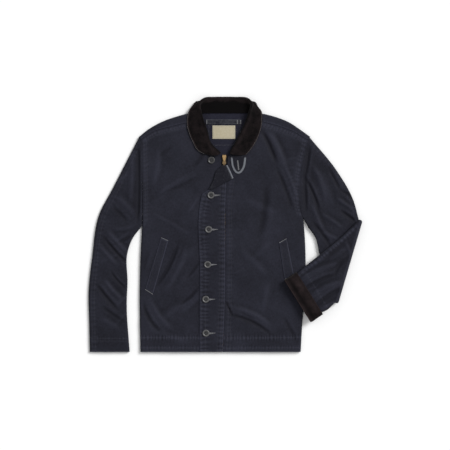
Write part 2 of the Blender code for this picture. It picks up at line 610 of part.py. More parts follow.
def build_trims(cloth, lining, label):
    """Flat pieces, each laid on what carries it and moved out by a seam's gap."""
    inside = CLOTH + SEAM + LINING
    grid = four_sided(LINING_OUTLINE, 9, 7)
    wall("neck_lining", lifted(grid, np.full(grid.shape[:2], inside)), LINING, lining)
    for name, outline, thick, finish in (
        ("hanger_loop", LOOP_OUTLINE, LOOP_CLOTH, cloth),
        ("label", LABEL_OUTLINE, LABEL_CLOTH, label),
    ):
        grid = four_sided(outline, 7, 4)
        wall(name, lifted(grid, np.full(grid.shape[:2], inside + SEAM + thick)), thick, finish)
    for name, outline in (("welt_right", RIGHT_WELT), ("welt_left", LEFT_WELT)):
        grid = four_sided(outline, 4, 9)
        wall(name, lifted(grid, front_height(grid) + SEAM + WELT_CLOTH), WELT_CLOTH, cloth)
    grid = four_sided(TAB_OUTLINE, 6, 7)
    wall("throat_tab", lifted(grid, front_height(grid) + SEAM + FLAP_CLOTH), FLAP_CLOTH, cloth)


def build_flap(finish, facing_finish):
    """Storm flap over the zip, with its top corner turned back to show the facing."""
    surface = patch(
        along((FLAP_FREE_EDGE[0], FLAP_ROOT[0])), along((FLAP_FOLD[-1], FLAP_ROOT[-1])),
        joined(FLAP_FREE_EDGE, FLAP_FOLD, FLAP_CORNER), along(FLAP_ROOT),
    )
    rows = np.concatenate([np.linspace(0, FLAP_CORNER, 22), np.linspace(FLAP_CORNER, 1.0, 6)[1:]])
    s, v = np.meshgrid(np.linspace(0, 1, 6), rows)
    pixels = surface(s, v)
    wall("storm_flap", lifted(pixels, front_height(pixels) + SEAM + FLAP_CLOTH), FLAP_CLOTH, finish)
    facing = patch(
        along((FACING_FOLD[0], FACING_EDGE[0])), along((FACING_FOLD[-1], FACING_EDGE[-1])),
        along(FACING_FOLD), joined(FACING_EDGE[:2], FACING_EDGE[1:], 0.5),
    )
    s, v = np.meshgrid(np.linspace(0, 1, 7), np.linspace(0, 1, 9))
    pixels = facing(s, v)
    height = front_height(pixels) + 2 * SEAM + 2 * FLAP_CLOTH + FACING_PUFF * np.sin(np.pi * s)
    wall("flap_facing", lifted(pixels, height), FLAP_CLOTH, facing_finish)


def build_zip(tape_finish, brass, dark_brass):
    """Zip tape under the flap, its slider at the top and the hinged pull."""
    line = curve(ZIP_LINE, np.linspace(0, 1, 9))
    half = ZIP_TAPE_WIDTH / 2 / PIXEL
    pixels = np.stack([line + np.array([side * half, 0.0]) for side in (-1.0, 0.0, 1.0)], 1)
    top = CLOTH + SEAM + TAPE_LIFT
    wall("zip_tape", lifted(pixels, np.full(pixels.shape[:2], top)), TAPE_CLOTH, tape_finish)
    hinge = np.array([*metres(HINGE_PIXEL), HINGE_HEIGHT])
    build_slider(hinge, top + SEAM, brass)
    build_pull(hinge, dark_brass)


def prism(name, outline, low, high, finish):
    """Upright solid of a plan outline that runs anticlockwise, seen from above."""
    count = len(outline)
    points = [(x, y, low) for x, y in outline] + [(x, y, high) for x, y in outline]
    faces = [tuple(range(count))[::-1], tuple(range(count, 2 * count))]
    for i in range(count):
        j = (i + 1) % count
        faces.append((i, j, j + count, i + count))
    return add_object(name, points, faces, finish)


def rectangle(centre, half_x, half_y):
    """Plan outline of a rectangle about a centre."""
    corners = ((-1, -1), (1, -1), (1, 1), (-1, 1))
    return [(centre[0] + side * half_x, centre[1] + end * half_y) for side, end in corners]


def apply_boolean(base, other, operation):
    """Join another object to a base or cut it away, then drop it."""
    step = base.modifiers.new(operation.lower(), "BOOLEAN")
    step.operation = operation
    step.solver = "EXACT"
    step.object = other
    bpy.context.view_layer.update()
    graph = bpy.context.evaluated_depsgraph_get()
    shape = bpy.data.meshes.new_from_object(base.evaluated_get(graph))
    base.modifiers.clear()
    base.data = shape
    bpy.data.objects.remove(other)


def build_slider(hinge, bottom, finish):
    """Slider: a body that narrows towards its pull, and the bail that holds the pull's bar."""
    top = hinge[2] - BAIL_ROOM
    half = SLIDER_WIDTH / 2
    back, front_end = SLIDER_LENGTH - 0.0030, 0.0030
    outline = [
        (hinge[0] - 0.62 * half, hinge[1] - front_end),
        (hinge[0] + 0.62 * half, hinge[1] - front_end),
        (hinge[0] + 0.72 * half, hinge[1] + 0.35 * back),
        (hinge[0] + half, hinge[1] + 0.62 * back),
        (hinge[0] + 0.9 * half, hinge[1] + back),
        (hinge[0] - 0.9 * half, hinge[1] + back),
        (hinge[0] - half, hinge[1] + 0.62 * back),
        (hinge[0] - 0.72 * half, hinge[1] + 0.35 * back),
    ]
    body = prism("zip_slider", outline, bottom, top, finish)
    reach = BAIL_ROOM + BAIL_BAR
    side = BAIL_WIDTH / 2
    bail = prism("bail", rectangle(hinge, side, reach), top - 0.0005, hinge[2] + reach, finish)
    eye = prism("bail_eye", rectangle(hinge, half, BAIL_ROOM), top, hinge[2] + BAIL_ROOM, finish)
    apply_boolean(bail, eye, "DIFFERENCE")
    apply_boolean(body, bail, "UNION")


def build_pull(hinge, finish):
    """Pull: a bar on the hinge's axis, two arms past the bail and a flat tab."""
    half, bar = PULL_WIDTH / 2, PULL_THICK / 2
    outline = [
        (-0.66 * half, bar),
        (-half, -0.55 * PULL_LENGTH),
        (-half, -0.85 * PULL_LENGTH),
        (-0.6 * half, -PULL_LENGTH),
        (0.6 * half, -PULL_LENGTH),
        (half, -0.85 * PULL_LENGTH),
        (half, -0.55 * PULL_LENGTH),
        (0.66 * half, bar),
    ]
    tab = prism("zip_pull", outline, -bar, bar, finish)
    room = BAIL_WIDTH / 2 + 0.0005
    far = BAIL_ROOM + BAIL_BAR + 0.0014
    window_outline = [(-room, -far), (room, -far), (room, -bar), (-room, -bar)]
    window = prism("pull_window", window_outline, -2 * bar, 2 * bar, finish)
    apply_boolean(tab, window, "DIFFERENCE")
    tab.location = hinge


def build_buttons(finish):
    """Six turned buttons: a raised rim round a dished middle."""
    radius = BUTTON_DIAMETER / 2
    profile = (
        # share of the radius, share of the height
        (0.0, 0.0), (0.80, 0.0), (1.0, 0.45), (0.94, 0.90), (0.80, 1.0), (0.62, 0.72), (0.0, 0.62),
    )
    around = 20
    for number, pixel in enumerate(BUTTONS, 1):
        place = metres(pixel)
        on_flap = number > 1
        base = float(front_height(np.array(pixel))) + SEAM + (FLAP_CLOTH + SEAM if on_flap else 0.0)
        points, faces = [(place[0], place[1], base)], []
        for share, level in profile[1:-1]:
            for k in range(around):
                angle = 2 * math.pi * k / around
                x = place[0] + share * radius * math.cos(angle)
                y = place[1] + share * radius * math.sin(angle)
                points.append((x, y, base + level * BUTTON_HEIGHT))
        points.append((place[0], place[1], base + profile[-1][1] * BUTTON_HEIGHT))
        rings = len(profile) - 2
        for k in range(around):
            after = (k + 1) % around
            faces.append((0, 1 + after, 1 + k))
            for ring in range(rings - 1):
                low, high = 1 + ring * around, 1 + (ring + 1) * around
                faces.append((low + k, low + after, high + after, high + k))
            high = 1 + (rings - 1) * around
            faces.append((high + k, high + after, len(points) - 1))
        add_object(f"button_{number}", points, faces, finish)


def build_jacket():
    """Every piece of the jacket, each its own object."""
    for old in list(bpy.data.objects):
        bpy.data.objects.remove(old)
    cloth = material("jungle_cloth", (0.020, 0.021, 0.030), 0.82)
    corduroy = material("brown_corduroy", (0.018, 0.011, 0.010), 0.90)
    lining = material("navy_lining", (0.014, 0.016, 0.036), 0.85)
    label = material("cream_label", (0.72, 0.68, 0.56), 0.80)
    brass = material("brass", (0.62, 0.42, 0.20), 0.35, 1.0)
    dark_brass = material("dark_brass", (0.22, 0.16, 0.10), 0.45, 1.0)
    button = material("dark_button", (0.045, 0.045, 0.050), 0.30)
    build_back(cloth)
    build_fronts(cloth)
    build_shoulders(cloth)
    build_right_sleeve(cloth)
    build_left_sleeve(cloth)
    build_cuff(corduroy)
    build_collar(corduroy)
    build_trims(cloth, lining, label)
    build_flap(cloth, lining)
    build_zip(cloth, brass, dark_brass)
    build_buttons(button)


build_jacket()
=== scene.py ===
"""Looks of a deck jacket laid flat with its front up, built around its packed CAD frame.

The jacket lies on the ground plane with its hem towards -Y and its front towards +Z. Left and
right in names are the wearer's own, so the right sleeve is the one at -X. Outlines and seams are
given in pixels of the plan picture (x to the right, y down) and become metres through PIXEL and
CENTRE; every height, thickness and width is in metres, or in millimetres where a table says so.
"""

import math

import bpy
import numpy as np
from mathutils.bvhtree import BVHTree
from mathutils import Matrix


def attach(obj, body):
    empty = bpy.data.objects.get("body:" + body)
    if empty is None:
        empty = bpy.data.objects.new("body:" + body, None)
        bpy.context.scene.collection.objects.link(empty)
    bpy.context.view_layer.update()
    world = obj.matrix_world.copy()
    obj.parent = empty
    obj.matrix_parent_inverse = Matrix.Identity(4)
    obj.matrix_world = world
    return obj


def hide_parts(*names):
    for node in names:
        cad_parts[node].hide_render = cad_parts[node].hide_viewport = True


bl_info = {
    "name": "Deck Jacket",
    "version": (1, 0, 0),
    "blender": (4, 5, 0),
    "location": "View3D > Sidebar > Deck Jacket",
    "description": "Builds the cloth, corduroy, stitching and fastenings of a deck jacket laid flat",
    "category": "Object",
}

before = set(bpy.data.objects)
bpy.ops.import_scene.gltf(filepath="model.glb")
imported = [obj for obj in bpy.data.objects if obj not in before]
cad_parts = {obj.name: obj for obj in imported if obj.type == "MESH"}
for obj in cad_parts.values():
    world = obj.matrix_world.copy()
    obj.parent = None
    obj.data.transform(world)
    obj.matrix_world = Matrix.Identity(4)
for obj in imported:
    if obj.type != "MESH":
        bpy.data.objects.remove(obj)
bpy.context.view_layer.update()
BODY = "jacket"

# Scale of the plan picture, and the pixel over the origin
PIXEL = 0.00285
CENTRE = (224.93, 224.73)
PICTURE_MIDDLE = (225.0, 225.0)
PICTURE_SIDE = 450
MM = 0.001

# Cloth walls and layers, metres, as in the frame
CLOTH = 0.0030
FLAP_CLOTH = 0.0022
CORD_CLOTH = 0.0025
LINING = 0.0010
SEAM = 0.0003
WELT_CLOTH = 0.0018
LOOP_CLOTH = 0.0014
LABEL_CLOTH = 0.0008
TAPE_CLOTH = 0.0012
LAYER = 0.0093
HALF = LAYER / 2
FRONT_TOP = LAYER
EDGE_REACH = 0.0068
FOLD_RADIUS = 0.0060
CUFF_RISE = 0.0030
CUFF_WIDTH = 0.1370
CUFF_LENGTH = 0.0400
CUFF_BACK = 0.0010
TAPE_LIFT = 0.0025
TAPE_TOP = CLOTH + SEAM + TAPE_LIFT
ROLL_RADIUS = 0.0040
COLLAR_BEND = 0.35
BUTTON_DIAMETER = 0.0195
BUTTON_HEIGHT = 0.0032

# Shares of the way up the body at which one boundary curve hands over to the next
ARMPIT = 0.62
SHOULDER_START = 0.70
NECK_CORNER = 0.42
FLAP_CORNER = 0.86
SLEEVE_SEAM = 0.06
SIDE_TO_SHOULDER = 230.0
SHOULDER_GAP = 0.35

# Outlines in picture pixels, each from the hem upwards or from the neck outwards
RIGHT_SIDE = ((140.3, 352.0), (139.6, 318.0), (139.6, 283.0), (140.6, 250.0), (141.9, 226.0))
RIGHT_ARMHOLE = ((141.9, 226.0), (142.6, 205.0), (142.3, 183.0), (141.6, 160.0), (141.0, 139.6))
LEFT_SIDE = (
    (300.8, 352.0), (302.4, 324.0), (305.2, 290.0), (305.8, 265.0), (304.8, 235.0), (303.3, 217.6),
)
LEFT_ARMHOLE = ((303.3, 217.6), (300.4, 207.0), (299.5, 187.0), (302.4, 163.5), (308.0, 140.0))
RIGHT_FRONT_EDGE = (
    (221.6, 352.0), (222.4, 303.0), (222.8, 220.0), (222.6, 180.0), (221.4, 166.0), (220.6, 156.5),
)
LEFT_FRONT_EDGE = (
    (222.8, 352.0), (224.4, 303.0), (225.2, 220.0), (225.8, 180.0), (227.2, 166.0), (228.2, 156.5),
)
RIGHT_NECKLINE = ((220.6, 156.5), (211.0, 151.5), (205.0, 142.0), (200.0, 130.0), (192.5, 121.6))
LEFT_NECKLINE = ((228.2, 156.5), (238.5, 150.0), (245.0, 139.0), (251.0, 128.0), (257.5, 120.6))
RIGHT_SHOULDER_SEAM = ((192.5, 121.6), (172.0, 126.4), (153.5, 131.8), (141.0, 139.6))
LEFT_SHOULDER_SEAM = ((257.5, 120.6), (276.0, 125.4), (292.0, 131.0), (308.0, 140.0))
RIGHT_SHOULDER_EDGE = ((190.5, 112.9), (175.0, 116.8), (161.0, 122.0), (147.7, 129.6), (138.2, 137.3))
LEFT_SHOULDER_EDGE = ((260.5, 113.1), (275.0, 116.6), (288.8, 122.0), (300.5, 129.6), (310.2, 136.6))
BACK_TOP = (
    (138.2, 137.3), (147.7, 129.6), (161.0, 122.0), (175.0, 116.8), (190.5, 112.9), (208.0, 112.4),
    (242.0, 112.4), (260.5, 113.1), (275.0, 116.6), (288.8, 122.0), (300.5, 129.6), (310.2, 136.6),
)
RIGHT_SLEEVE_OUTER = (
    (89.5, 352.0), (88.9, 322.0), (88.3, 293.0), (91.8, 258.0), (99.3, 213.7), (111.9, 189.6), (138.8, 137.3),
)
RIGHT_SLEEVE_INNER = (
    (129.5, 352.0), (126.6, 302.7), (127.4, 283.0), (127.4, 252.4), (132.2, 239.0), (141.6, 226.4),
)
RIGHT_SLEEVE_HEAD = (
    (138.8, 137.3), (141.4, 140.6), (141.6, 160.0), (142.0, 183.0), (142.3, 205.0), (141.6, 226.4),
)
UPPER_ARM_OUTER = ((359.0, 219.6), (353.5, 200.0), (337.2, 171.0), (309.6, 137.0))
UPPER_ARM_INNER = (
    (334.6, 302.6), (329.0, 280.0), (319.6, 254.4), (315.6, 238.0), (308.4, 227.3), (303.0, 218.2),
)
LEFT_SLEEVE_HEAD = (
    (309.6, 137.0), (307.8, 140.2), (302.2, 163.5), (299.3, 187.0), (300.2, 207.0), (303.0, 218.2),
)
FOREARM_TOP = ((285.8, 281.3), (291.7, 277.2), (306.2, 265.0), (319.8, 254.4), (340.0, 238.0), (359.0, 219.6))
FOREARM_BOTTOM = ((309.8, 319.6), (317.0, 314.0), (327.0, 309.6), (334.6, 302.6))

# Collar sections from the right front end round the back to the left front end
COLLAR = (
    # seam x, seam y, seam z, roll x, roll y, roll z, lean, edge x, edge y, edge z
    (214.5, 154.6, 0.0098, 220.0, 153.6, 0.0140, 0.0, 204.6, 154.2, 0.0124),
    (206.8, 148.4, 0.0098, 212.4, 146.6, 0.0142, 0.0, 197.2, 150.0, 0.0124),
    (202.6, 141.4, 0.0098, 208.6, 140.4, 0.0145, 2.0, 192.6, 142.0, 0.0124),
    (200.4, 132.2, 0.0098, 206.2, 131.0, 0.0150, 6.0, 189.0, 133.4, 0.0124),
    (198.0, 122.6, 0.0100, 202.8, 120.8, 0.0168, 16.0, 186.8, 123.6, 0.0124),
    (199.6, 115.2, 0.0100, 200.2, 111.2, 0.0198, 44.0, 188.1, 112.4, 0.0126),
    (203.2, 113.0, 0.0090, 199.4, 103.8, 0.0176, 84.0, 192.0, 106.2, 0.0100),
    (208.4, 112.8, 0.0078, 205.2, 98.8, 0.0106, 136.0, 197.0, 101.9, 0.0050),
    (215.0, 112.8, 0.0074, 214.2, 98.0, 0.0044, 180.0, 213.4, 109.6, 0.0003),
    (225.0, 112.8, 0.0074, 225.0, 97.9, 0.0044, 180.0, 225.0, 109.6, 0.0003),
    (235.0, 112.8, 0.0074, 236.2, 98.0, 0.0044, 180.0, 236.6, 109.6, 0.0003),
    (241.8, 112.8, 0.0078, 246.2, 98.8, 0.0106, 136.0, 253.6, 101.9, 0.0050),
    (246.6, 113.0, 0.0090, 251.4, 104.0, 0.0176, 84.0, 258.0, 106.2, 0.0100),
    (249.8, 115.6, 0.0100, 249.9, 111.8, 0.0198, 44.0, 262.0, 112.8, 0.0126),
    (251.2, 123.6, 0.0100, 246.6, 121.8, 0.0168, 16.0, 261.8, 124.6, 0.0124),
    (248.4, 134.2, 0.0098, 242.6, 131.2, 0.0150, 6.0, 259.0, 135.0, 0.0124),
    (244.2, 141.6, 0.0098, 238.6, 138.8, 0.0145, 2.0, 255.0, 143.6, 0.0124),
    (240.2, 148.8, 0.0098, 234.6, 145.8, 0.0142, 0.0, 250.4, 150.2, 0.0124),
    (235.6, 155.0, 0.0098, 230.2, 153.8, 0.0140, 0.0, 246.4, 154.6, 0.0124),
)

# Flat trims in picture pixels: corners from the lower left, going round to the left
LINING_OUTLINE = ((216.0, 158.0), (233.0, 158.0), (249.0, 113.2), (201.0, 113.2))
LOOP_OUTLINE = ((205.8, 124.2), (241.2, 124.2), (241.2, 119.4), (205.8, 119.4))
LABEL_OUTLINE = ((212.5, 138.7), (235.2, 138.7), (235.2, 125.4), (212.5, 125.4))
TAB_TIP = ((233.7, 170.7), (235.8, 173.0), (238.3, 173.8), (240.8, 172.9), (243.0, 170.5))
TAB_LEFT = (TAB_TIP[0], (232.0, 167.0), (231.1, 162.0), (230.6, 154.9))
TAB_RIGHT = (TAB_TIP[-1], (244.8, 166.6), (245.7, 161.6), (246.2, 154.9))
RIGHT_WELT = ((145.4, 288.6), (153.2, 293.4), (168.2, 241.0), (161.0, 238.0))
LEFT_WELT = ((284.4, 278.6), (293.9, 275.6), (286.6, 238.6), (279.2, 243.2))
FLAP_FREE_EDGE = ((199.5, 351.4), (199.8, 270.0), (200.8, 200.0), (202.0, 194.6), (208.4, 190.0))
FLAP_FOLD = ((208.4, 190.0), (213.0, 181.0), (216.4, 171.0), (221.8, 165.2))
FLAP_ROOT = ((222.6, 351.4), (224.6, 303.0), (225.8, 190.0), (227.4, 165.2))
FACING_FOLD = ((208.8, 189.0), *FLAP_FOLD[1:])
FACING_EDGE = ((211.6, 190.2), (233.4, 178.2), (230.8, 172.0), (227.6, 165.4))
FACING_PUFF = 0.0010
ZIP_LINE = ((222.2, 351.0), (223.6, 303.0), (224.2, 240.0), (224.3, 157.5))
ZIP_TAPE_WIDTH = 0.0220
BUTTONS = ((211.4, 160.2), (211.0, 195.2), (208.6, 229.4), (207.6, 264.5), (205.8, 299.2), (206.0, 333.0))

# Soft folds: ends in picture pixels, sideways bow in pixels, half width and rise in millimetres
FRONT_FOLDS = (
    # x0, y0, x1, y1, bow, half width, rise
    (178.0, 244.0, 157.0, 285.0, 2.0, 4.6, -3.0),
    (186.0, 246.0, 166.0, 288.0, 2.0, 7.0, 2.4),
    (199.0, 262.0, 186.0, 278.0, 1.0, 3.8, -1.6),
    (199.0, 287.0, 178.0, 306.0, 1.5, 4.0, -2.4),
    (200.0, 294.0, 180.0, 313.0, 1.5, 5.0, 1.4),
    (143.0, 302.0, 160.0, 332.0, -3.0, 5.5, -2.4),
    (149.0, 298.0, 172.0, 330.0, -3.0, 7.0, 1.8),
    (166.0, 290.0, 196.0, 246.0, 2.0, 9.5, 1.6),
    (160.0, 322.0, 196.0, 300.0, 3.0, 8.0, 1.2),
    (146.0, 270.0, 152.0, 250.0, 0.0, 5.0, 1.0),
    (196.0, 172.0, 160.0, 196.0, -2.0, 7.0, 1.6),
    (182.0, 186.0, 150.0, 204.0, -3.0, 5.0, -1.3),
    (181.0, 183.0, 197.0, 174.0, 0.0, 3.6, 1.3),
    (158.0, 150.0, 152.0, 186.0, 2.0, 7.0, 1.4),
    (172.0, 146.0, 158.0, 158.0, 0.0, 5.0, -0.9),
    (198.0, 196.0, 186.0, 214.0, 1.0, 4.0, 1.3),
    (152.0, 214.0, 190.0, 236.0, 1.0, 5.0, 0.9),
    (150.0, 205.0, 168.0, 186.0, 0.0, 5.5, 1.2),
    (204.0, 148.0, 192.0, 168.0, 2.0, 6.0, -1.4),
    (262.0, 131.0, 276.0, 163.0, 1.0, 5.4, -3.2),
    (270.0, 134.0, 284.0, 166.0, 1.0, 7.5, 2.6),
    (276.0, 167.0, 292.0, 209.0, 1.0, 5.0, -1.8),
    (283.0, 164.0, 297.0, 200.0, 1.0, 5.0, 1.6),
    (286.0, 160.0, 296.0, 158.0, 0.0, 2.6, 0.9),
    (284.0, 170.0, 295.0, 167.0, 0.0, 2.6, 0.9),
    (284.0, 180.0, 294.0, 176.0, 0.0, 2.6, 0.9),
    (285.0, 190.0, 295.0, 185.0, 0.0, 2.6, 0.9),
    (266.0, 186.0, 258.0, 240.0, 2.0, 9.0, -1.6),
    (244.0, 200.0, 276.0, 214.0, 0.0, 9.0, 1.0),
    (226.0, 302.0, 232.0, 316.0, 0.0, 3.4, -2.6),
    (230.0, 315.0, 270.0, 334.0, 3.0, 4.6, -2.6),
    (232.0, 308.0, 270.0, 326.0, 3.0, 6.5, 2.2),
    (241.0, 313.0, 254.0, 319.0, 0.0, 2.8, -1.2),
    (232.0, 274.0, 244.0, 270.0, 0.0, 3.0, 0.8),
    (240.0, 250.0, 268.0, 276.0, 0.0, 9.0, 1.2),
    (250.0, 262.0, 272.0, 240.0, 0.0, 7.0, 0.8),
    (268.0, 282.0, 262.0, 312.0, 0.0, 8.0, 1.2),
    (284.0, 318.0, 298.0, 344.0, 0.0, 5.0, -1.2),
    (150.0, 330.0, 190.0, 344.0, 0.0, 7.0, 0.9),
)
RIGHT_SLEEVE_FOLDS = (
    (138.2, 146.0, 138.6, 186.0, 0.0, 4.6, -2.6),
    (138.6, 180.0, 137.6, 222.0, 0.0, 4.6, -2.6),
    (132.0, 150.0, 130.0, 205.0, 0.0, 7.0, 1.8),
    (104.0, 238.0, 127.0, 263.0, -1.0, 4.6, -2.9),
    (108.0, 232.0, 127.0, 252.0, -1.0, 6.0, 2.2),
    (98.0, 244.0, 118.0, 266.0, -1.0, 6.0, 2.0),
    (97.0, 285.0, 117.0, 309.0, -1.0, 5.2, -2.9),
    (104.0, 280.0, 122.0, 300.0, -1.0, 6.0, 2.4),
    (111.0, 272.0, 125.0, 288.0, -1.0, 3.6, -1.8),
    (129.0, 232.0, 106.0, 244.0, 1.5, 3.8, 2.0),
    (134.0, 226.0, 112.0, 229.0, 1.5, 4.2, 1.8),
    (131.0, 236.0, 122.0, 242.0, 0.0, 3.0, -1.8),
    (115.0, 184.0, 129.0, 172.0, 0.0, 4.4, 1.5),
    (117.0, 197.0, 134.0, 214.0, 0.0, 8.0, 1.8),
    (112.0, 206.0, 128.0, 222.0, 0.0, 5.0, -1.4),
    (120.0, 252.0, 100.0, 262.0, 1.0, 4.0, 1.2),
    (126.0, 296.0, 116.0, 306.0, 0.0, 4.0, 1.6),
    (102.0, 306.0, 124.0, 322.0, -1.0, 5.0, -1.6),
    (100.0, 318.0, 120.0, 330.0, 0.0, 7.0, 1.4),
    (127.0, 312.0, 110.0, 330.0, 0.0, 4.0, 1.2),
)
UPPER_ARM_FOLDS = (
    (309.6, 147.0, 304.6, 178.0, 0.0, 4.6, -2.6),
    (304.4, 174.0, 305.8, 210.0, 0.0, 4.6, -2.4),
    (305.0, 178.0, 318.5, 209.0, 1.0, 4.6, -2.9),
    (313.0, 166.0, 326.0, 203.0, 1.0, 6.5, 2.4),
    (318.0, 168.0, 332.0, 205.0, 0.0, 8.0, 1.6),
    (328.0, 166.0, 340.0, 190.0, 0.0, 4.4, -2.0),
    (341.0, 190.0, 357.0, 204.0, 1.0, 4.6, -2.9),
    (336.0, 198.0, 354.0, 211.0, 0.0, 5.0, 2.6),
    (341.0, 211.0, 356.0, 222.0, 0.0, 4.2, -2.9),
    (322.0, 214.0, 342.0, 228.0, 0.0, 5.0, 2.0),
    (312.0, 222.0, 330.0, 246.0, 1.0, 5.0, -2.2),
    (320.0, 232.0, 338.0, 240.0, 0.0, 5.0, 1.6),
    (311.0, 204.0, 322.0, 230.0, 0.0, 6.0, 2.0),
)
FOREARM_FOLDS = (
    (352.0, 228.0, 322.0, 252.0, 1.0, 6.0, 1.8),
    (303.0, 290.0, 334.0, 275.0, 2.0, 5.0, -3.0),
    (300.0, 281.0, 336.0, 264.0, 2.0, 6.6, 3.8),
    (334.0, 276.0, 342.0, 262.0, 1.0, 4.0, -2.0),
    (313.0, 308.0, 344.0, 287.0, 2.0, 5.4, -2.9),
    (308.0, 299.0, 340.0, 282.0, 2.0, 6.2, 3.8),
    (318.0, 310.0, 338.0, 300.0, 0.0, 4.5, 2.0),
    (327.0, 262.0, 348.0, 246.0, 0.0, 6.0, 1.8),
    (330.0, 270.0, 350.0, 256.0, 0.0, 4.5, -1.8),
    (344.0, 240.0, 353.0, 262.0, 0.0, 4.5, 1.4),
    (306.0, 270.0, 324.0, 257.0, 0.0, 4.5, 1.4),
)

# Rows of stitching: swell, pitch and reach of the puckers beside them in millimetres, and wear
BODY_SEAMS = (
    # points, swell, pitch, reach, wear
    (((143.6, 141.5), (144.6, 160.0), (145.2, 183.0), (145.4, 205.0), (144.6, 226.0)), 0.25, 11.0, 4.0, 0.35),
    (((146.2, 140.5), (147.0, 160.0), (147.6, 183.0), (147.8, 205.0), (147.0, 222.0)), 0.25, 11.0, 4.0, 0.20),
    (((305.6, 141.5), (300.0, 163.5), (297.2, 187.0), (298.0, 207.0), (300.8, 217.0)), 0.25, 11.0, 4.0, 0.45),
    (((303.2, 140.5), (297.6, 163.5), (294.8, 187.0), (295.6, 207.0), (298.2, 216.0)), 0.25, 11.0, 4.0, 0.25),
    (((190.0, 124.4), (172.0, 128.8), (153.5, 134.0), (144.0, 139.8)), 0.25, 9.0, 3.5, 0.50),
    (((188.0, 127.0), (172.0, 131.0), (154.4, 136.2), (146.5, 141.0)), 0.20, 9.0, 3.5, 0.25),
    (((262.0, 123.8), (276.0, 127.8), (292.0, 133.4), (305.0, 140.4)), 0.25, 9.0, 3.5, 0.50),
    (((264.0, 126.6), (276.0, 130.0), (291.0, 135.6), (302.6, 141.6)), 0.20, 9.0, 3.5, 0.25),
    (((141.0, 337.6), (170.0, 337.8), (198.0, 337.9), (221.5, 338.0)), 0.95, 8.6, 8.0, 0.40),
    (((141.2, 347.6), (170.0, 347.8), (198.0, 347.9), (221.0, 348.0)), 0.55, 7.9, 5.5, 0.45),
    (((224.0, 338.0), (250.0, 337.9), (276.0, 337.6), (300.6, 337.2)), 0.95, 8.9, 8.0, 0.40),
    (((223.8, 348.0), (250.0, 347.9), (276.0, 347.7), (300.0, 347.5)), 0.55, 8.1, 5.5, 0.45),
    (((227.4, 349.0), (228.6, 303.0), (229.4, 240.0), (230.0, 190.0), (232.4, 176.0)), 0.25, 12.0, 6.0, 0.25),
    (((230.0, 349.0), (231.2, 303.0), (232.0, 240.0), (232.6, 192.0), (235.0, 179.0)), 0.20, 12.0, 5.0, 0.10),
)
FLAP_SEAMS = (
    (((201.6, 350.6), (201.9, 270.0), (202.9, 201.0), (204.4, 196.0), (209.6, 192.4)), 0.45, 10.5, 5.0, 0.45),
    (((205.6, 350.6), (205.9, 270.0), (206.6, 203.0), (207.8, 198.6), (211.6, 195.6)), 0.80, 11.5, 10.0, 0.35),
    (((220.4, 350.6), (222.4, 303.0), (223.6, 190.0), (225.0, 167.0)), 0.75, 12.5, 9.0, 0.35),
    (((217.4, 350.6), (219.4, 303.0), (220.6, 190.0), (221.2, 172.0)), 0.25, 12.5, 5.0, 0.10),
)
RIGHT_SLEEVE_SEAMS = (
    (((92.8, 351.0), (92.0, 322.0), (91.6, 293.0), (95.0, 258.0), (102.4, 215.0), (114.6, 191.0), (138.0, 143.0)),
     0.30, 12.0, 5.0, 0.15),
    (((95.6, 351.0), (94.9, 322.0), (94.5, 293.0), (97.8, 258.8), (105.2, 216.0), (117.2, 192.4), (138.8, 147.0)),
     0.20, 12.0, 5.0, 0.22),
    (((91.0, 338.2), (110.0, 338.2), (127.8, 338.2)), 0.35, 8.0, 5.0, 0.20),
    (((91.0, 341.0), (110.0, 341.0), (127.9, 341.0)), 0.20, 8.0, 4.0, 0.15),
)
UPPER_ARM_SEAMS = (
    (((356.2, 221.0), (350.4, 202.0), (334.4, 173.4), (309.4, 142.0)), 0.30, 12.0, 5.0, 0.35),
)
FOREARM_SEAMS = (
    (((296.0, 277.6), (308.0, 267.4), (321.0, 257.2), (341.0, 241.0), (355.6, 226.6)), 0.30, 11.0, 5.0, 0.55),
    (((303.6, 269.2), (315.4, 287.6), (327.0, 306.4)), 0.35, 8.0, 5.0, 0.30),
)


def metres(points):
    """Plan place in metres of points in picture pixels."""
    offset = (np.asarray(points, float) - CENTRE) * PIXEL
    return np.stack([offset[..., 0], -offset[..., 1]], -1)


def unit(vectors):
    """Vectors scaled to length 1."""
    return vectors / np.maximum(np.linalg.norm(vectors, axis=-1), 1e-12)[..., None]


def smoothstep(value, low, high):
    """0 below low, 1 above high and a soft step between."""
    t = np.clip((np.asarray(value, float) - low) / (high - low), 0.0, 1.0)
    return t * t * (3 - 2 * t)


def curve(points, t):
    """Smooth curve through points at t, 0 to 1 of its length: cubic pieces whose slope at each
    point is the mean of its neighbours' slopes, weighted by the nearer one."""
    knots = np.asarray(points, float)
    steps = np.linalg.norm(np.diff(knots, axis=0), axis=1)
    at = np.concatenate([[0.0], np.cumsum(steps)])
    slopes = np.diff(knots, axis=0) / steps[:, None]
    inner = (slopes[:-1] * steps[1:, None] + slopes[1:] * steps[:-1, None]) / (steps[:-1] + steps[1:])[:, None]
    tangents = np.concatenate([slopes[:1], inner, slopes[-1:]])
    where = np.clip(np.asarray(t, float), 0.0, 1.0) * at[-1]
    k = np.clip(np.searchsorted(at, where, side="right") - 1, 0, len(steps) - 1)
    length = steps[k][..., None]
    f = (where - at[k])[..., None] / length
    return (
        (2 * f**3 - 3 * f**2 + 1) * knots[k]
        + (f**3 - 2 * f**2 + f) * length * tangents[k]
        + (3 * f**2 - 2 * f**3) * knots[k + 1]
        + (f**3 - f**2) * length * tangents[k + 1]
    )


def along(points):
    """Boundary function of one smooth curve."""
    return lambda t: curve(points, t)


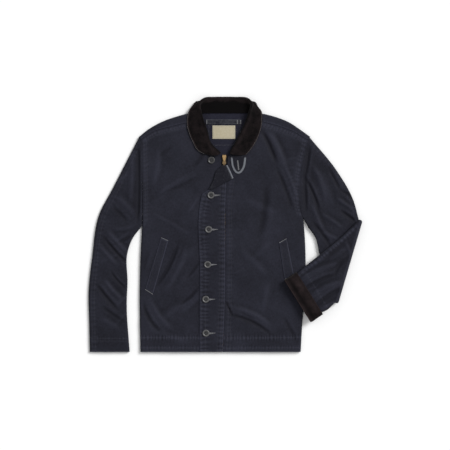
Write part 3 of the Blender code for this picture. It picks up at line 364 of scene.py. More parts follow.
def joined(first, second, share):
    """Boundary function of two smooth curves that meet in a corner at the given share."""

    def place(t):
        t = np.asarray(t, float)
        before = curve(first, np.clip(t / share, 0, 1))
        after = curve(second, np.clip((t - share) / (1 - share), 0, 1))
        return np.where((t < share)[..., None], before, after)

    return place


def patch(bottom, top, left, right):
    """Surface between four boundaries: the sum of both ruled surfaces less the bilinear one."""

    def place(s, v):
        s, v = np.broadcast_arrays(np.asarray(s, float), np.asarray(v, float))
        corner = [b(np.array(e)) for b in (bottom, top) for e in (0.0, 1.0)]
        a, b = s[..., None], v[..., None]
        ruled = (1 - b) * bottom(s) + b * top(s) + (1 - a) * left(v) + a * right(v)
        flat = (1 - b) * ((1 - a) * corner[0] + a * corner[1]) + b * ((1 - a) * corner[2] + a * corner[3])
        return ruled - flat

    return place


def fold_height(pixels, folds):
    """Height of soft folds at plan points. Across a fold, at a half widths aside, it is
    exp(-a^2) with a shallow trough beside it, -0.35 exp(-(a - 1.9)^2); it fades at both ends."""
    height = np.zeros(pixels.shape[:-1])
    for x0, y0, x1, y1, bow, half_width, rise in folds:
        start, end = np.array([x0, y0]), np.array([x1, y1])
        length = np.linalg.norm(end - start)
        run = (end - start) / length
        offset = pixels - start
        forward = (offset @ run) / length
        middle = bow * 4 * np.clip(forward, 0, 1) * (1 - np.clip(forward, 0, 1))
        aside = (offset[..., 0] * run[1] - offset[..., 1] * run[0] - middle) * PIXEL / (half_width * MM)
        fade = smoothstep(forward, -0.12, 0.30) * (1 - smoothstep(forward, 0.70, 1.12))
        height += rise * MM * fade * (np.exp(-(aside**2)) - 0.35 * np.exp(-((aside - 1.9) ** 2)))
    return height


def rumple(pixels, seed):
    """Slight unevenness of laid cloth: a sum of plane waves 22 to 95 mm long, at mixed angles."""
    draw = np.random.default_rng(seed)
    place = metres(pixels)
    height = np.zeros(pixels.shape[:-1])
    for wave in np.geomspace(0.022, 0.095, 14):
        angle, phase = draw.uniform(0, math.pi), draw.uniform(0, 2 * math.pi)
        along_wave = place @ np.array([math.cos(angle), math.sin(angle)])
        height += (wave / 0.095) ** 1.3 * np.sin(2 * math.pi * along_wave / wave + phase)
    return RUMPLE_HEIGHT * height


RUMPLE_HEIGHT = 0.00022


def line_place(pixels, points):
    """Distance in metres from plan points to a polyline, and how far along it each one is."""
    line = np.asarray(points, float)
    best = np.full(pixels.shape[:-1], np.inf)
    where = np.zeros(pixels.shape[:-1])
    start = 0.0
    for a, b in zip(line[:-1], line[1:]):
        run = b - a
        length = np.linalg.norm(run)
        f = np.clip(((pixels - a) @ run) / length**2, 0, 1)
        distance = np.linalg.norm(pixels - a - f[..., None] * run, axis=-1)
        nearer = distance < best
        best = np.where(nearer, distance, best)
        where = np.where(nearer, start + f * length, where)
        start += length
    return best * PIXEL, where * PIXEL


def dense(points, count=60):
    """Many points of the smooth curve through a few."""
    return curve(points, np.linspace(0, 1, count))


def seam_relief(pixels, seams):
    """Height that rows of stitching give to plan points, and a tone value: a narrow groove in each row and puckers
    beside it, swell * exp(-(d / reach)^2) * sin(2 pi s / pitch) with a drifting pitch. The tone is faded along each
    row, and paler on the pucker crests and darker in their troughs."""
    height = np.zeros(pixels.shape[:-1])
    wear_and_shading = np.zeros(pixels.shape[:-1])
    for points, swell, pitch, reach, fade in seams:
        distance, where = line_place(pixels, dense(points))
        turn = 2 * math.pi * where / (pitch * MM)
        ripple = np.sin(turn + 1.3 * np.sin(turn * 0.23) + 0.8 * np.sin(turn * 0.071 + 1.0))
        near = np.exp(-((distance / (reach * MM)) ** 2))
        height += near * swell * MM * ripple - GROOVE_DEPTH * np.exp(-((distance / GROOVE_WIDTH) ** 2))
        wear_and_shading += fade * (0.7 * np.exp(-((distance / 0.0036) ** 2)) + 0.6 * near * ripple)
    return height, wear_and_shading


GROOVE_DEPTH = 0.0006
GROOVE_WIDTH = 0.0016
HEM_STEP = 0.0007


def lifted(pixels, height):
    """Points in metres from plan pixels and heights."""
    return np.concatenate([metres(pixels), np.asarray(height)[..., None]], -1)


def front_height(pixels):
    """Height of both fronts without their stitching."""
    strength = bpy.context.scene.jacket_cloth.fold_strength
    return FRONT_TOP + strength * (fold_height(pixels, FRONT_FOLDS) + rumple(pixels, 11))


def flat_columns(count, first=0.0, last=1.0):
    """Section columns over a flat stretch: share of the width, sines at the two edges, level."""
    share = np.linspace(first, last, count)
    return np.stack([share, 0 * share, 0 * share, 1 + 0 * share], 1)


def edge_columns(angles, right):
    """Section columns round an edge, by angle from the top: 90 is the edge, 180 is underneath."""
    turn = np.radians(np.asarray(angles, float))
    share = np.full_like(turn, 1.0 if right else 0.0)
    sine = np.sin(turn)
    sines = (0 * sine, sine) if right else (sine, 0 * sine)
    return np.stack([share, *sines, np.cos(turn)], 1)


def edge_slants(surface, v):
    """How much wider a rolled edge is across a section than square to the edge, at both edges."""
    low, high = surface(0.0, v), surface(1.0, v)
    if len(v) < 2:
        return np.ones((len(v), 1)), np.ones((len(v), 1))
    across = unit(high - low)
    fade = (smoothstep(v, 0.0, 0.12) * smoothstep(1 - v, 0.0, 0.12))[:, None]
    slants = []
    for edge in (low, high):
        run = unit(np.gradient(edge, axis=0))
        square = np.abs(across[:, 0] * run[:, 1] - across[:, 1] * run[:, 0])
        slants.append(1 + fade * (1 / np.clip(square, 0.6, 1.0)[:, None] - 1))
    return slants


def section_places(surface, rows, columns, left_roll, right_roll):
    """Plan pixels and level of each grid point: a column's place across is counted in from the
    edges by the radius of the rolled edge, so the section is a flattened ring."""
    radius = EDGE_REACH / PIXEL
    v = rows[:, None]
    width = np.linalg.norm(surface(1.0, v) - surface(0.0, v), axis=-1)
    left_slant, right_slant = edge_slants(surface, rows)
    share, left_sine, right_sine, level = (columns[None, :, k] for k in range(4))
    rl, rr = radius * left_roll * left_slant, radius * right_roll * right_slant
    across = rl * (1 - left_sine) + share * (width - rl - rr) + rr * right_sine
    return surface(across / width, v + 0 * across), level + 0 * across


def smooth_table(table, t):
    """Rows of a table at t, 0 to 1 of its rows: cubic pieces whose slope at each row is half of
    the step between its neighbours."""
    slopes = np.gradient(table, axis=0)
    where = t * (len(table) - 1)
    k = np.clip(np.floor(where).astype(int), 0, len(table) - 2)
    f = (where - k)[:, None]
    return (
        (2 * f**3 - 3 * f**2 + 1) * table[k]
        + (f**3 - 2 * f**2 + f) * slopes[k]
        + (3 * f**2 - 2 * f**3) * table[k + 1]
        + (f**3 - f**2) * slopes[k + 1]
    )


def grid_normals(points, around=False):
    """Unit normals of a grid of points, from the differences along its rows and columns."""
    if around:
        ring = np.concatenate([points[:, -1:], points, points[:, :1]], 1)
        across = np.gradient(ring, axis=1)[:, 1:-1]
    else:
        across = np.gradient(points, axis=1)
    return unit(np.cross(across, np.gradient(points, axis=0)))


def grid_lengths(points):
    """Length along each row and along each column of a grid, as running sums."""
    across = np.linalg.norm(np.diff(points, axis=1), axis=-1)
    forward = np.linalg.norm(np.diff(points, axis=0), axis=-1)
    start = ((0, 0), (1, 0)), ((1, 0), (0, 0))
    return np.pad(np.cumsum(across, 1), start[1]) if False else (
        np.concatenate([np.zeros((len(points), 1)), np.cumsum(across, 1)], 1),
        np.concatenate([np.zeros((1, points.shape[1])), np.cumsum(forward, 0)], 0),
    )


def grid_area(points):
    """Area of a grid of points, as two triangles for each cell."""
    a, b, c, d = points[:-1, :-1], points[:-1, 1:], points[1:, 1:], points[1:, :-1]
    halves = np.linalg.norm(np.cross(b - a, c - a), axis=-1) + np.linalg.norm(np.cross(c - a, d - a), axis=-1)
    return float(halves.sum() / 2)


def add_mesh(name, points, faces, material, uv=None, wear_and_shading=None, sharp=50.0):
    """Mesh object of the given points and faces, smooth but for its sharp edges."""
    mesh = bpy.data.meshes.new(name)
    faces = np.asarray(faces)
    sides = faces.shape[1]
    mesh.vertices.add(len(points))
    mesh.vertices.foreach_set("co", np.asarray(points, np.float32).ravel())
    mesh.loops.add(faces.size)
    mesh.loops.foreach_set("vertex_index", faces.astype(np.int32).ravel())
    mesh.polygons.add(len(faces))
    mesh.polygons.foreach_set("loop_start", np.arange(0, faces.size, sides, dtype=np.int32))
    if uv is not None:
        layer = mesh.uv_layers.new(name="cloth")
        layer.data.foreach_set("uv", np.asarray(uv, np.float32)[faces.ravel()].ravel())
    # Per-point tone: faded edges, seams and fold tops, painted shade in fold valleys, on the collar stand and on
    # button 1, and a painted highlight on button rims
    if wear_and_shading is not None:
        attribute = mesh.attributes.new("wear_and_shading", "FLOAT", "POINT")
        attribute.data.foreach_set("value", np.asarray(wear_and_shading, np.float32).ravel())
    mesh.update(calc_edges=True)
    mesh.validate()
    mesh.materials.append(material)
    mesh.shade_smooth()
    mesh.set_sharp_from_angle(angle=math.radians(sharp))
    made = bpy.data.objects.new(name, mesh)
    bpy.context.scene.collection.objects.link(made)
    return made


def wall(name, outer, thickness, material, flip=False, borders=(), around=False, wear_and_shading=None):
    """Closed cloth wall: a grid of outer points and the same grid moved in by the thickness,
    joined by a rim. A border is an index, the way it faces and how much it is turned that way.
    Its UV map counts metres along the mean row and the mean column."""
    normals = grid_normals(outer, around) * (-1.0 if flip else 1.0)
    for where, facing, share in borders:
        run = unit(np.gradient(outer[where], axis=0))
        square = unit(facing - (facing * run).sum(-1, keepdims=True) * run)
        normals[where] = unit(normals[where] * (1 - share) + square * share)
    inner = outer - thickness * normals
    rows, columns = outer.shape[:2]
    index = np.arange(rows * columns).reshape(rows, columns)
    if around:
        index = np.concatenate([index, index[:, :1]], 1)
    quads = np.stack([index[:-1, :-1], index[:-1, 1:], index[1:, 1:], index[1:, :-1]], -1).reshape(-1, 4)
    below = quads[:, ::-1] + rows * columns
    if around:
        loops = [index[0], index[-1][::-1]]
    else:
        loops = [np.concatenate([index[0], index[1:, -1], index[-1, -2::-1], index[-2::-1, 0]])]
    rim = [np.stack([p[1:], p[:-1], p[:-1] + rows * columns, p[1:] + rows * columns], -1) for p in loops]
    faces = np.concatenate([quads, below, *rim])
    if flip:
        faces = faces[:, ::-1]
    across, forward = grid_lengths(outer)
    u = np.broadcast_to(across.mean(0)[None, :], outer.shape[:2])
    v = np.broadcast_to(forward.mean(1)[:, None], outer.shape[:2])
    uv = np.stack([u, v], -1).reshape(-1, 2)
    worn = np.zeros(rows * columns) if wear_and_shading is None else np.asarray(wear_and_shading, float).reshape(-1)
    points = np.concatenate([outer.reshape(-1, 3), inner.reshape(-1, 3)])
    return add_mesh(name, points, faces, material, np.tile(uv, (2, 1)), np.tile(worn, 2))


def settle(piece, node, slot, body=BODY):
    """Makes a piece stand for its CAD node and puts it on its body; the finish slot is not used."""
    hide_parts(node)
    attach(piece, body)
    return piece


def lay_sheet(outer, around=False):
    """Works out the longest row and column of an outer grid and that grid's area, and keeps none of them."""
    if around:
        outer = np.concatenate([outer, outer[:, :1]], 1)
    across, forward = grid_lengths(outer)
    width, length = float(across.max()), float(forward.max())
    min(grid_area(outer), width * length)


def steps(length, size):
    """How many grid lines cover a length with cells of about the given size."""
    return max(3, int(round(length / size)) + 1)


def rim_distance(grid):
    """Distance in metres of each plan point of a grid from the grid's outline."""
    rim = np.concatenate([grid[0], grid[1:, -1], grid[-1, -2::-1], grid[-2::-1, 0]])
    return line_place(grid, rim)[0]


def rounded_rim(grid, thickness, reach):
    """Drop of a flat piece's upper face near its outline: a quarter ellipse of the given reach."""
    near = 1 - np.clip(rim_distance(grid) / reach, 0, 1)
    return 0.45 * thickness * (1 - np.sqrt(np.clip(1 - near**2, 0, 1)))


# Materials


def node(tree, kind, inputs=None, **settings):
    """Adds a node, sets its properties, and sets or links its inputs."""
    made = tree.nodes.new(kind)
    for name, value in settings.items():
        setattr(made, name, value)
    for key, value in (inputs or {}).items():
        if isinstance(value, bpy.types.NodeSocket):
            tree.links.new(value, made.inputs[key])
        else:
            made.inputs[key].default_value = value
    return made


def maths(tree, operation, *values):
    """Output of a Math node."""
    return node(tree, "ShaderNodeMath", dict(enumerate(values)), operation=operation).outputs[0]


def mixed(tree, share, first, second, blend="MIX"):
    """Colour output of a Mix node."""
    made = node(tree, "ShaderNodeMix", None, data_type="RGBA", blend_type=blend)
    for index, value in ((0, share), (6, first), (7, second)):
        if isinstance(value, bpy.types.NodeSocket):
            tree.links.new(value, made.inputs[index])
        else:
            made.inputs[index].default_value = value
    return made.outputs[2]


def noise(tree, vector, scale, detail=3.0, rough=0.5):
    """Factor of a noise texture."""
    made = node(tree, "ShaderNodeTexNoise", {"Vector": vector, "Scale": scale, "Detail": detail, "Roughness": rough})
    return made.outputs[0]


def new_group(name, inputs, outputs):
    """Node group with the named sockets: its tree, its inputs and its output node."""
    tree = bpy.data.node_groups.new(name, "ShaderNodeTree")
    for kind, names in (("INPUT", inputs), ("OUTPUT", outputs)):
        for socket, shape in names:
            tree.interface.new_socket(name=socket, in_out=kind, socket_type=f"NodeSocket{shape}")
    return tree, tree.nodes.new("NodeGroupInput").outputs, tree.nodes.new("NodeGroupOutput")


def woven_group():
    """Corded cotton: ribs across, a finer pick between them, slubs in the yarn and faded patches. Its Wear_and_shading
    input fades worn cloth and, where negative, darkens the cloth as painted shade.
    """
    made = bpy.data.node_groups.get("corded cotton")
    if made:
        return made
    tree, given, out = new_group(
        "corded cotton",
        (("UV", "Vector"), ("Place", "Vector"), ("Wear_and_shading", "Float"), ("Pitch", "Float"), ("Dark", "Color"), ("Faded", "Color")),
        (("Color", "Color"), ("Roughness", "Float"), ("Height", "Float")),
    )
    parts = node(tree, "ShaderNodeSeparateXYZ", {0: given["UV"]}).outputs
    across = maths(tree, "DIVIDE", maths(tree, "MULTIPLY", parts[0], 2 * math.pi), given["Pitch"])
    forward = maths(tree, "DIVIDE", maths(tree, "MULTIPLY", parts[1], 2 * math.pi * 1.6), given["Pitch"])
    rib = maths(tree, "SINE", across)
    pick = maths(tree, "SINE", forward)
    weave = maths(tree, "ADD", maths(tree, "MULTIPLY", rib, 0.35), maths(tree, "MULTIPLY", maths(tree, "MULTIPLY", rib, pick), 0.25))
    slub = noise(tree, node(tree, "ShaderNodeMapping", {"Vector": given["UV"], "Scale": (1400.0, 120.0, 1.0)}).outputs[0], 1.0, 2.0)
    cross = noise(tree, node(tree, "ShaderNodeMapping", {"Vector": given["UV"], "Scale": (90.0, 900.0, 1.0)}).outputs[0], 1.0, 2.0)
    patchy = noise(tree, given["Place"], 11.0, 5.0, 0.62)
    grain = noise(tree, given["Place"], 190.0, 4.0, 0.6)
    # Negative values of the attribute darken the cloth as painted shade
    fade = maths(tree, "ADD", maths(tree, "MULTIPLY", maths(tree, "SUBTRACT", patchy, 0.5), 0.8), given["Wear_and_shading"])
    fade = maths(tree, "ADD", fade, maths(tree, "MULTIPLY", maths(tree, "SUBTRACT", grain, 0.5), 0.6))
    fade = maths(tree, "ADD", fade, maths(tree, "MULTIPLY", maths(tree, "SUBTRACT", slub, 0.5), 0.5))
    fade = node(tree, "ShaderNodeClamp", {0: maths(tree, "ADD", fade, 0.24)}).outputs[0]
    colour = mixed(tree, fade, given["Dark"], given["Faded"])
    shade = maths(tree, "ADD", maths(tree, "MULTIPLY", weave, 0.22), 0.92)
    tone = node(tree, "ShaderNodeCombineColor", {0: shade, 1: shade, 2: shade}).outputs[0]
    colour = mixed(tree, 1.0, colour, tone, "MULTIPLY")
    tree.links.new(colour, out.inputs["Color"])
    tree.links.new(maths(tree, "ADD", maths(tree, "MULTIPLY", fade, 0.12), 0.66), out.inputs["Roughness"])
    height = maths(tree, "ADD", weave, maths(tree, "MULTIPLY", slub, 0.5))
    height = maths(tree, "ADD", height, maths(tree, "MULTIPLY", cross, 0.35))
    tree.links.new(height, out.inputs["Height"])
    return tree


def cord_group():
    """Corduroy: the nap of each wale is paler where it is rubbed, and the grooves are dark. Its Wear_and_shading input
    also darkens the collar stand as painted shade.
    """
    made = bpy.data.node_groups.get("corduroy nap")
    if made:
        return made
    tree, given, out = new_group(
        "corduroy nap",
        (("UV", "Vector"), ("Place", "Vector"), ("Wear_and_shading", "Float"), ("Pitch", "Float"), ("Dark", "Color"), ("Worn", "Color")),
        (("Color", "Color"), ("Roughness", "Float"), ("Height", "Float")),
    )
    parts = node(tree, "ShaderNodeSeparateXYZ", {0: given["UV"]}).outputs
    turn = maths(tree, "DIVIDE", maths(tree, "MULTIPLY", parts[0], math.pi), given["Pitch"])
    wale = maths(tree, "ABSOLUTE", maths(tree, "SINE", turn))
    nap = noise(tree, given["Place"], 900.0, 3.0, 0.6)
    brushed = noise(tree, given["Place"], 34.0, 5.0, 0.65)
    fade = maths(tree, "ADD", maths(tree, "MULTIPLY", maths(tree, "SUBTRACT", brushed, 0.5), 1.7), given["Wear_and_shading"])
    fade = maths(tree, "ADD", fade, maths(tree, "MULTIPLY", maths(tree, "SUBTRACT", nap, 0.5), 0.6))
    fade = maths(tree, "MULTIPLY", node(tree, "ShaderNodeClamp", {0: maths(tree, "ADD", fade, 0.22)}).outputs[0], wale)
    colour = mixed(tree, fade, given["Dark"], given["Worn"])
    tree.links.new(colour, out.inputs["Color"])
    tree.links.new(maths(tree, "ADD", maths(tree, "MULTIPLY", fade, 0.1), 0.8), out.inputs["Roughness"])
    tree.links.new(maths(tree, "ADD", wale, maths(tree, "MULTIPLY", nap, 0.5)), out.inputs["Height"])
    return tree


def new_material(name, preview):
    """Material with an empty Principled shader: the material, its tree and its shader."""
    made = bpy.data.materials.new(name)
    made.use_nodes = True
    made.diffuse_color = (*preview, 1.0)
    return made, made.node_tree, made.node_tree.nodes["Principled BSDF"]


def fabric(name, group, dark, pale, pitch, bump, sheen=0.03, specular=0.12):
    """Cloth material: a weave group on the piece's own UV map and its wear_and_shading attribute, which holds fading
    and painted shade, with a shallow bump.
    """
    made = bpy.data.materials.get(name)
    if made:
        return made
    made, tree, shader = new_material(name, dark)
    spots = node(tree, "ShaderNodeTexCoord").outputs
    # Fading and painted shade from the mesh attribute
    worn = node(tree, "ShaderNodeAttribute", None, attribute_name="wear_and_shading").outputs["Fac"]
    weave = node(tree, "ShaderNodeGroup", None, node_tree=group)
    for socket, value in zip(weave.inputs, (spots["UV"], spots["Object"], worn, pitch, (*dark, 1.0), (*pale, 1.0))):
        if isinstance(value, bpy.types.NodeSocket):
            tree.links.new(value, socket)
        else:
            socket.default_value = value
    relief = node(tree, "ShaderNodeBump", {"Height": weave.outputs["Height"], "Distance": bump, "Strength": 1.0})
    for source, target in (("Color", "Base Color"), ("Roughness", "Roughness")):
        tree.links.new(weave.outputs[source], shader.inputs[target])
    tree.links.new(relief.outputs[0], shader.inputs["Normal"])
    shader.inputs["Specular IOR Level"].default_value = specular
    shader.inputs["Sheen Weight"].default_value = sheen
    shader.inputs["Sheen Roughness"].default_value = 0.6
    return made


def jungle_cloth():
    """Dense corded cotton of the shell, faded along its edges and on the tops of folds, and darkened in the fold
    valleys as painted shade.
    """
    cloth = bpy.context.scene.jacket_cloth
    return fabric("jungle cloth", woven_group(), tuple(cloth.dark), tuple(cloth.faded), cloth.weave_pitch, 0.00012)


def corduroy():
    """Fine-wale brown corduroy of the collar and the cuff."""
    cord = bpy.context.scene.jacket_cord
    return fabric("brown corduroy", cord_group(), tuple(cord.dark), tuple(cord.worn), cord.wale_pitch, 0.00018, 0.05, 0.02)


def lining_cloth():
    """Plain navy lining."""
    return fabric("navy lining", woven_group(), (0.0070, 0.0072, 0.0150), (0.030, 0.030, 0.052), 0.0008, 0.00006)


def label_cloth():
    """Bare cream label of woven cotton."""
    return fabric("cream label", woven_group(), (0.44, 0.39, 0.27), (0.66, 0.62, 0.50), 0.0007, 0.00006, 0.05)


def tape_cloth():
    """Herringbone cotton tape of the zip."""
    return fabric("zip tape", woven_group(), (0.008, 0.008, 0.011), (0.030, 0.030, 0.036), 0.0009, 0.00010)


def thread(name, dark, pale):
    """Twisted cotton thread, with its ply as fine slanted bands."""
    made = bpy.data.materials.get(name)
    if made:
        return made
    made, tree, shader = new_material(name, dark)
    place = node(tree, "ShaderNodeTexCoord").outputs["Object"]
    shade = noise(tree, place, 420.0, 3.0)
    wave = node(tree, "ShaderNodeTexWave", {"Vector": place, "Scale": 900.0, "Distortion": 2.0}, bands_direction="DIAGONAL")
    share = maths(tree, "ADD", maths(tree, "MULTIPLY", shade, 0.7), maths(tree, "MULTIPLY", wave.outputs["Fac"], 0.3))
    tree.links.new(mixed(tree, share, (*dark, 1.0), (*pale, 1.0)), shader.inputs["Base Color"])
    relief = node(tree, "ShaderNodeBump", {"Height": wave.outputs["Fac"], "Distance": 0.0001})
    tree.links.new(relief.outputs[0], shader.inputs["Normal"])
    shader.inputs["Roughness"].default_value = 0.75
    return made


def metal(name, base, tarnish, rough):
    """Aged metal: tarnish in patches, rubbed bright between them, with fine scratches."""
    made = bpy.data.materials.get(name)
    if made:
        return made
    made, tree, shader = new_material(name, base)
    place = node(tree, "ShaderNodeTexCoord").outputs["Object"]
    patchy = noise(tree, place, 420.0, 5.0, 0.65)
    scratch = noise(tree, node(tree, "ShaderNodeMapping", {"Vector": place, "Scale": (4000.0, 300.0, 900.0)}).outputs[0], 1.0, 2.0)
    mask = node(tree, "ShaderNodeMapRange", {0: patchy, 1: 0.42, 2: 0.68}).outputs[0]
    tree.links.new(mixed(tree, mask, (*base, 1.0), (*tarnish, 1.0)), shader.inputs["Base Color"])
    level = maths(tree, "ADD", maths(tree, "MULTIPLY", mask, 0.22), maths(tree, "MULTIPLY", scratch, 0.12))
    tree.links.new(maths(tree, "ADD", level, rough), shader.inputs["Roughness"])
    relief = node(tree, "ShaderNodeBump", {"Height": scratch, "Distance": 0.00004})
    tree.links.new(relief.outputs[0], shader.inputs["Normal"])
    shader.inputs["Metallic"].default_value = 1.0
    return made


def brass():
    """Aged brass of the zip."""
    return metal("aged brass", (0.62, 0.42, 0.20), (0.20, 0.115, 0.05), 0.30)


def dark_brass():
    """Tarnished brass of the pull."""
    return metal("tarnished brass", (0.34, 0.24, 0.13), (0.09, 0.06, 0.035), 0.34)


def button_resin():
    """Dark pressed resin with faint turning marks, and a painted highlight: lighter towards the rim after the mesh
    attribute.
    """
    made = bpy.data.materials.get("button resin")
    if made:
        return made
    made, tree, shader = new_material("button resin", (0.05, 0.05, 0.055))
    place = node(tree, "ShaderNodeTexCoord").outputs["Object"]
    cloudy = noise(tree, place, 260.0, 4.0, 0.6)
    # The attribute carries the painted rim highlight
    rim = node(tree, "ShaderNodeAttribute", None, attribute_name="wear_and_shading").outputs["Fac"]
    share = maths(tree, "MULTIPLY", maths(tree, "ADD", cloudy, 0.5), rim)
    colour = mixed(tree, share, (0.008, 0.008, 0.009, 1.0), (0.085, 0.084, 0.086, 1.0))
    tree.links.new(colour, shader.inputs["Base Color"])
    tree.links.new(maths(tree, "ADD", maths(tree, "MULTIPLY", cloudy, 0.25), 0.22), shader.inputs["Roughness"])
    relief = node(tree, "ShaderNodeBump", {"Height": cloudy, "Distance": 0.00006})
    tree.links.new(relief.outputs[0], shader.inputs["Normal"])
    return made


def floor_paint():
    """Matt pale floor with a hardly visible grain."""
    made, tree, shader = new_material("pale floor", (0.95, 0.95, 0.95))
    place = node(tree, "ShaderNodeTexCoord").outputs["Object"]
    tone = noise(tree, place, 6.0, 3.0)
    tree.links.new(mixed(tree, tone, (0.93, 0.93, 0.93, 1.0), (0.96, 0.96, 0.96, 1.0)), shader.inputs["Base Color"])
    shader.inputs["Roughness"].default_value = 0.9
    return made


# Body


def body_rows(count):
    """Rows of a body panel: from the hem to where its armhole lies flat."""
    lower = np.linspace(0, ARMPIT, count)
    return np.concatenate([lower, np.linspace(ARMPIT, SHOULDER_START, max(4, count // 8))[1:]])


def body_seams():
    """Seam rows of the body with the cloth's own strength."""
    return BODY_SEAMS


def build_front(name, bottom_ends, side, armhole, edge, neckline, seam, flip):
    """One front: from its zip edge across to the side, rolled down along the side seam."""
    cloth = bpy.context.scene.jacket_cloth
    surface = patch(
        along(bottom_ends), joined(neckline, seam, NECK_CORNER), along(edge), joined(side, armhole, ARMPIT)
    )
    size = cloth.grid_step
    lower = body_rows(steps(0.44, size))
    rows = np.concatenate([lower, np.linspace(SHOULDER_START, 1.0, steps(0.2, size))[1:]])
    columns = np.concatenate([flat_columns(steps(0.225, size)), edge_columns(np.linspace(12, 90, 7), True)])
    pixels, level = section_places(surface, rows, columns, 0.0, 1.0)
    rolled = 1 - smoothstep(rows, ARMPIT, SHOULDER_START)[:, None]
    drop = (HALF - SEAM / 2) * (1 - level) * rolled
    relief, wear_and_shading = seam_relief(pixels, BODY_SEAMS)
    hem_band = HEM_STEP * smoothstep(pixels[..., 1], 336.6, 337.6)
    height = front_height(pixels) + (relief + hem_band) * np.clip(level, 0, 1) - drop
    outer = lifted(pixels, height)
    across = (outer[:, -1] - outer[:, 0]) * (1, 1, 0)
    wear_and_shading += 0.55 * np.exp(-((352.0 - pixels[..., 1]) * PIXEL / 0.0032) ** 2)
    # Fold tops faded, fold valleys darkened as painted shade
    wear_and_shading += fold_wear_and_shading(pixels, FRONT_FOLDS)
    piece = wall(f"{name}_cloth", outer, CLOTH, jungle_cloth(), flip,
                 [((slice(None), -1), across, rolled)], wear_and_shading=wear_and_shading)
    settle(piece, name, "jungle_cloth")
    lay_sheet(outer)
    return piece


def fold_wear_and_shading(pixels, folds):
    """Faded cloth on the tops of folds, and painted shade in their valleys: the valleys are darkened to stand for the
    shade in the creases.
    """
    return np.clip(fold_height(pixels, folds) / (6 * MM), -0.45, 0.20)


def build_fronts():
    """Both fronts."""
    build_front("front_right", ((221.6, 352.0), (140.3, 352.0)), RIGHT_SIDE, RIGHT_ARMHOLE,
                RIGHT_FRONT_EDGE, RIGHT_NECKLINE, RIGHT_SHOULDER_SEAM, True)
    build_front("front_left", ((222.8, 352.0), (300.8, 352.0)), LEFT_SIDE, LEFT_ARMHOLE,
                LEFT_FRONT_EDGE, LEFT_NECKLINE, LEFT_SHOULDER_SEAM, False)


def build_shoulders():
    """Shoulder strips from the forward seam over the shoulder's edge."""
    size = bpy.context.scene.jacket_cloth.grid_step
    gap = np.array([0.0, -SHOULDER_GAP])
    for name, seam, edge, flip, phase in (
        ("shoulder_right", RIGHT_SHOULDER_SEAM, RIGHT_SHOULDER_EDGE, True, 0.0),
        ("shoulder_left", LEFT_SHOULDER_SEAM, LEFT_SHOULDER_EDGE, False, 2.0),
    ):
        inner = np.array(seam) + gap
        surface = patch(along((inner[0], edge[0])), along((inner[-1], edge[-1])), along(inner), along(edge))
        rows = np.linspace(0.0, 0.997, steps(0.16, size))
        columns = np.concatenate([flat_columns(9), edge_columns(np.linspace(12, 90, 7), True)])
        pixels, level = section_places(surface, rows, columns, 0.0, 0.8)
        distance, where = line_place(pixels, dense(inner))
        swell = 0.0004 * np.exp(-((distance / 0.006) ** 2)) * np.sin(2 * math.pi * where / 0.0095 + phase)
        height = FRONT_TOP + (rumple(pixels, 11) + swell) * np.clip(level, 0, 1) - (HALF - SEAM / 2) * (1 - level)
        outer = lifted(pixels, height)
        across = (outer[:, -1] - outer[:, 0]) * (1, 1, 0)
        wear_and_shading = 0.35 * np.exp(-((distance / 0.0032) ** 2)) + 0.15 * (1 - level)
        piece = wall(f"{name}_cloth", outer, CLOTH, jungle_cloth(), not flip,
                     [((slice(None), -1), across, 1.0)], wear_and_shading=wear_and_shading)
        settle(piece, name, "jungle_cloth")
        lay_sheet(outer)


def build_back():
    """Back: flat underneath, rolled up to the side seams and the shoulders."""
    size = 1.6 * bpy.context.scene.jacket_cloth.grid_step
    left_edge = joined(RIGHT_SIDE, (*RIGHT_ARMHOLE, BACK_TOP[0]), ARMPIT)
    right_edge = joined(LEFT_SIDE, (*LEFT_ARMHOLE, BACK_TOP[-1]), ARMPIT)
    surface = patch(along((RIGHT_SIDE[0], LEFT_SIDE[0])), along(BACK_TOP), left_edge, right_edge)
    turn = np.radians(np.linspace(0.0, 90.0, 7))
    top_rows = 1 - EDGE_REACH / PIXEL * (1 - np.sin(turn)) / SIDE_TO_SHOULDER
    middle_rows = np.linspace(SHOULDER_START, top_rows[0], steps(0.19, size))[1:-1]
    rows = np.concatenate([body_rows(steps(0.44, size)), middle_rows, top_rows])
    top_level = np.concatenate([np.ones(len(rows) - len(turn)), np.cos(turn)])[:, None]
    columns = np.concatenate([
        edge_columns(np.linspace(90, 12, 7), False), flat_columns(steps(0.45, size)),
        edge_columns(np.linspace(12, 90, 7), True),
    ])
    pixels, level = section_places(surface, rows, columns, 1.0, 1.0)
    rolled = 1 - smoothstep(rows, ARMPIT, SHOULDER_START)[:, None]
    neck = smoothstep(pixels[..., 0], 184, 192) * (1 - smoothstep(pixels[..., 0], 258, 266))
    rise = np.maximum((1 - level) * rolled, (1 - top_level) * (1 - neck))
    outer = lifted(pixels, (HALF - SEAM / 2) * rise)
    across = (outer[:, -1] - outer[:, 0]) * (1, 1, 0)
    along_top = np.gradient(outer[-1], axis=0)
    top_out = np.stack([-along_top[:, 1], along_top[:, 0], 0 * along_top[:, 0]], 1)
    borders = [
        ((slice(None), 0), -across, rolled),
        ((slice(None), -1), across, rolled),
        ((-1, slice(None)), top_out, (1 - neck[-1])[:, None]),
    ]
    wear_and_shading = 0.5 * rise + 0.4 * np.exp(-((352.0 - pixels[..., 1]) * PIXEL / 0.0032) ** 2)
    piece = wall("back_cloth", outer, CLOTH, jungle_cloth(), True, borders, wear_and_shading=wear_and_shading)
    settle(piece, "back", "jungle_cloth")
    lay_sheet(outer)


# Sleeves


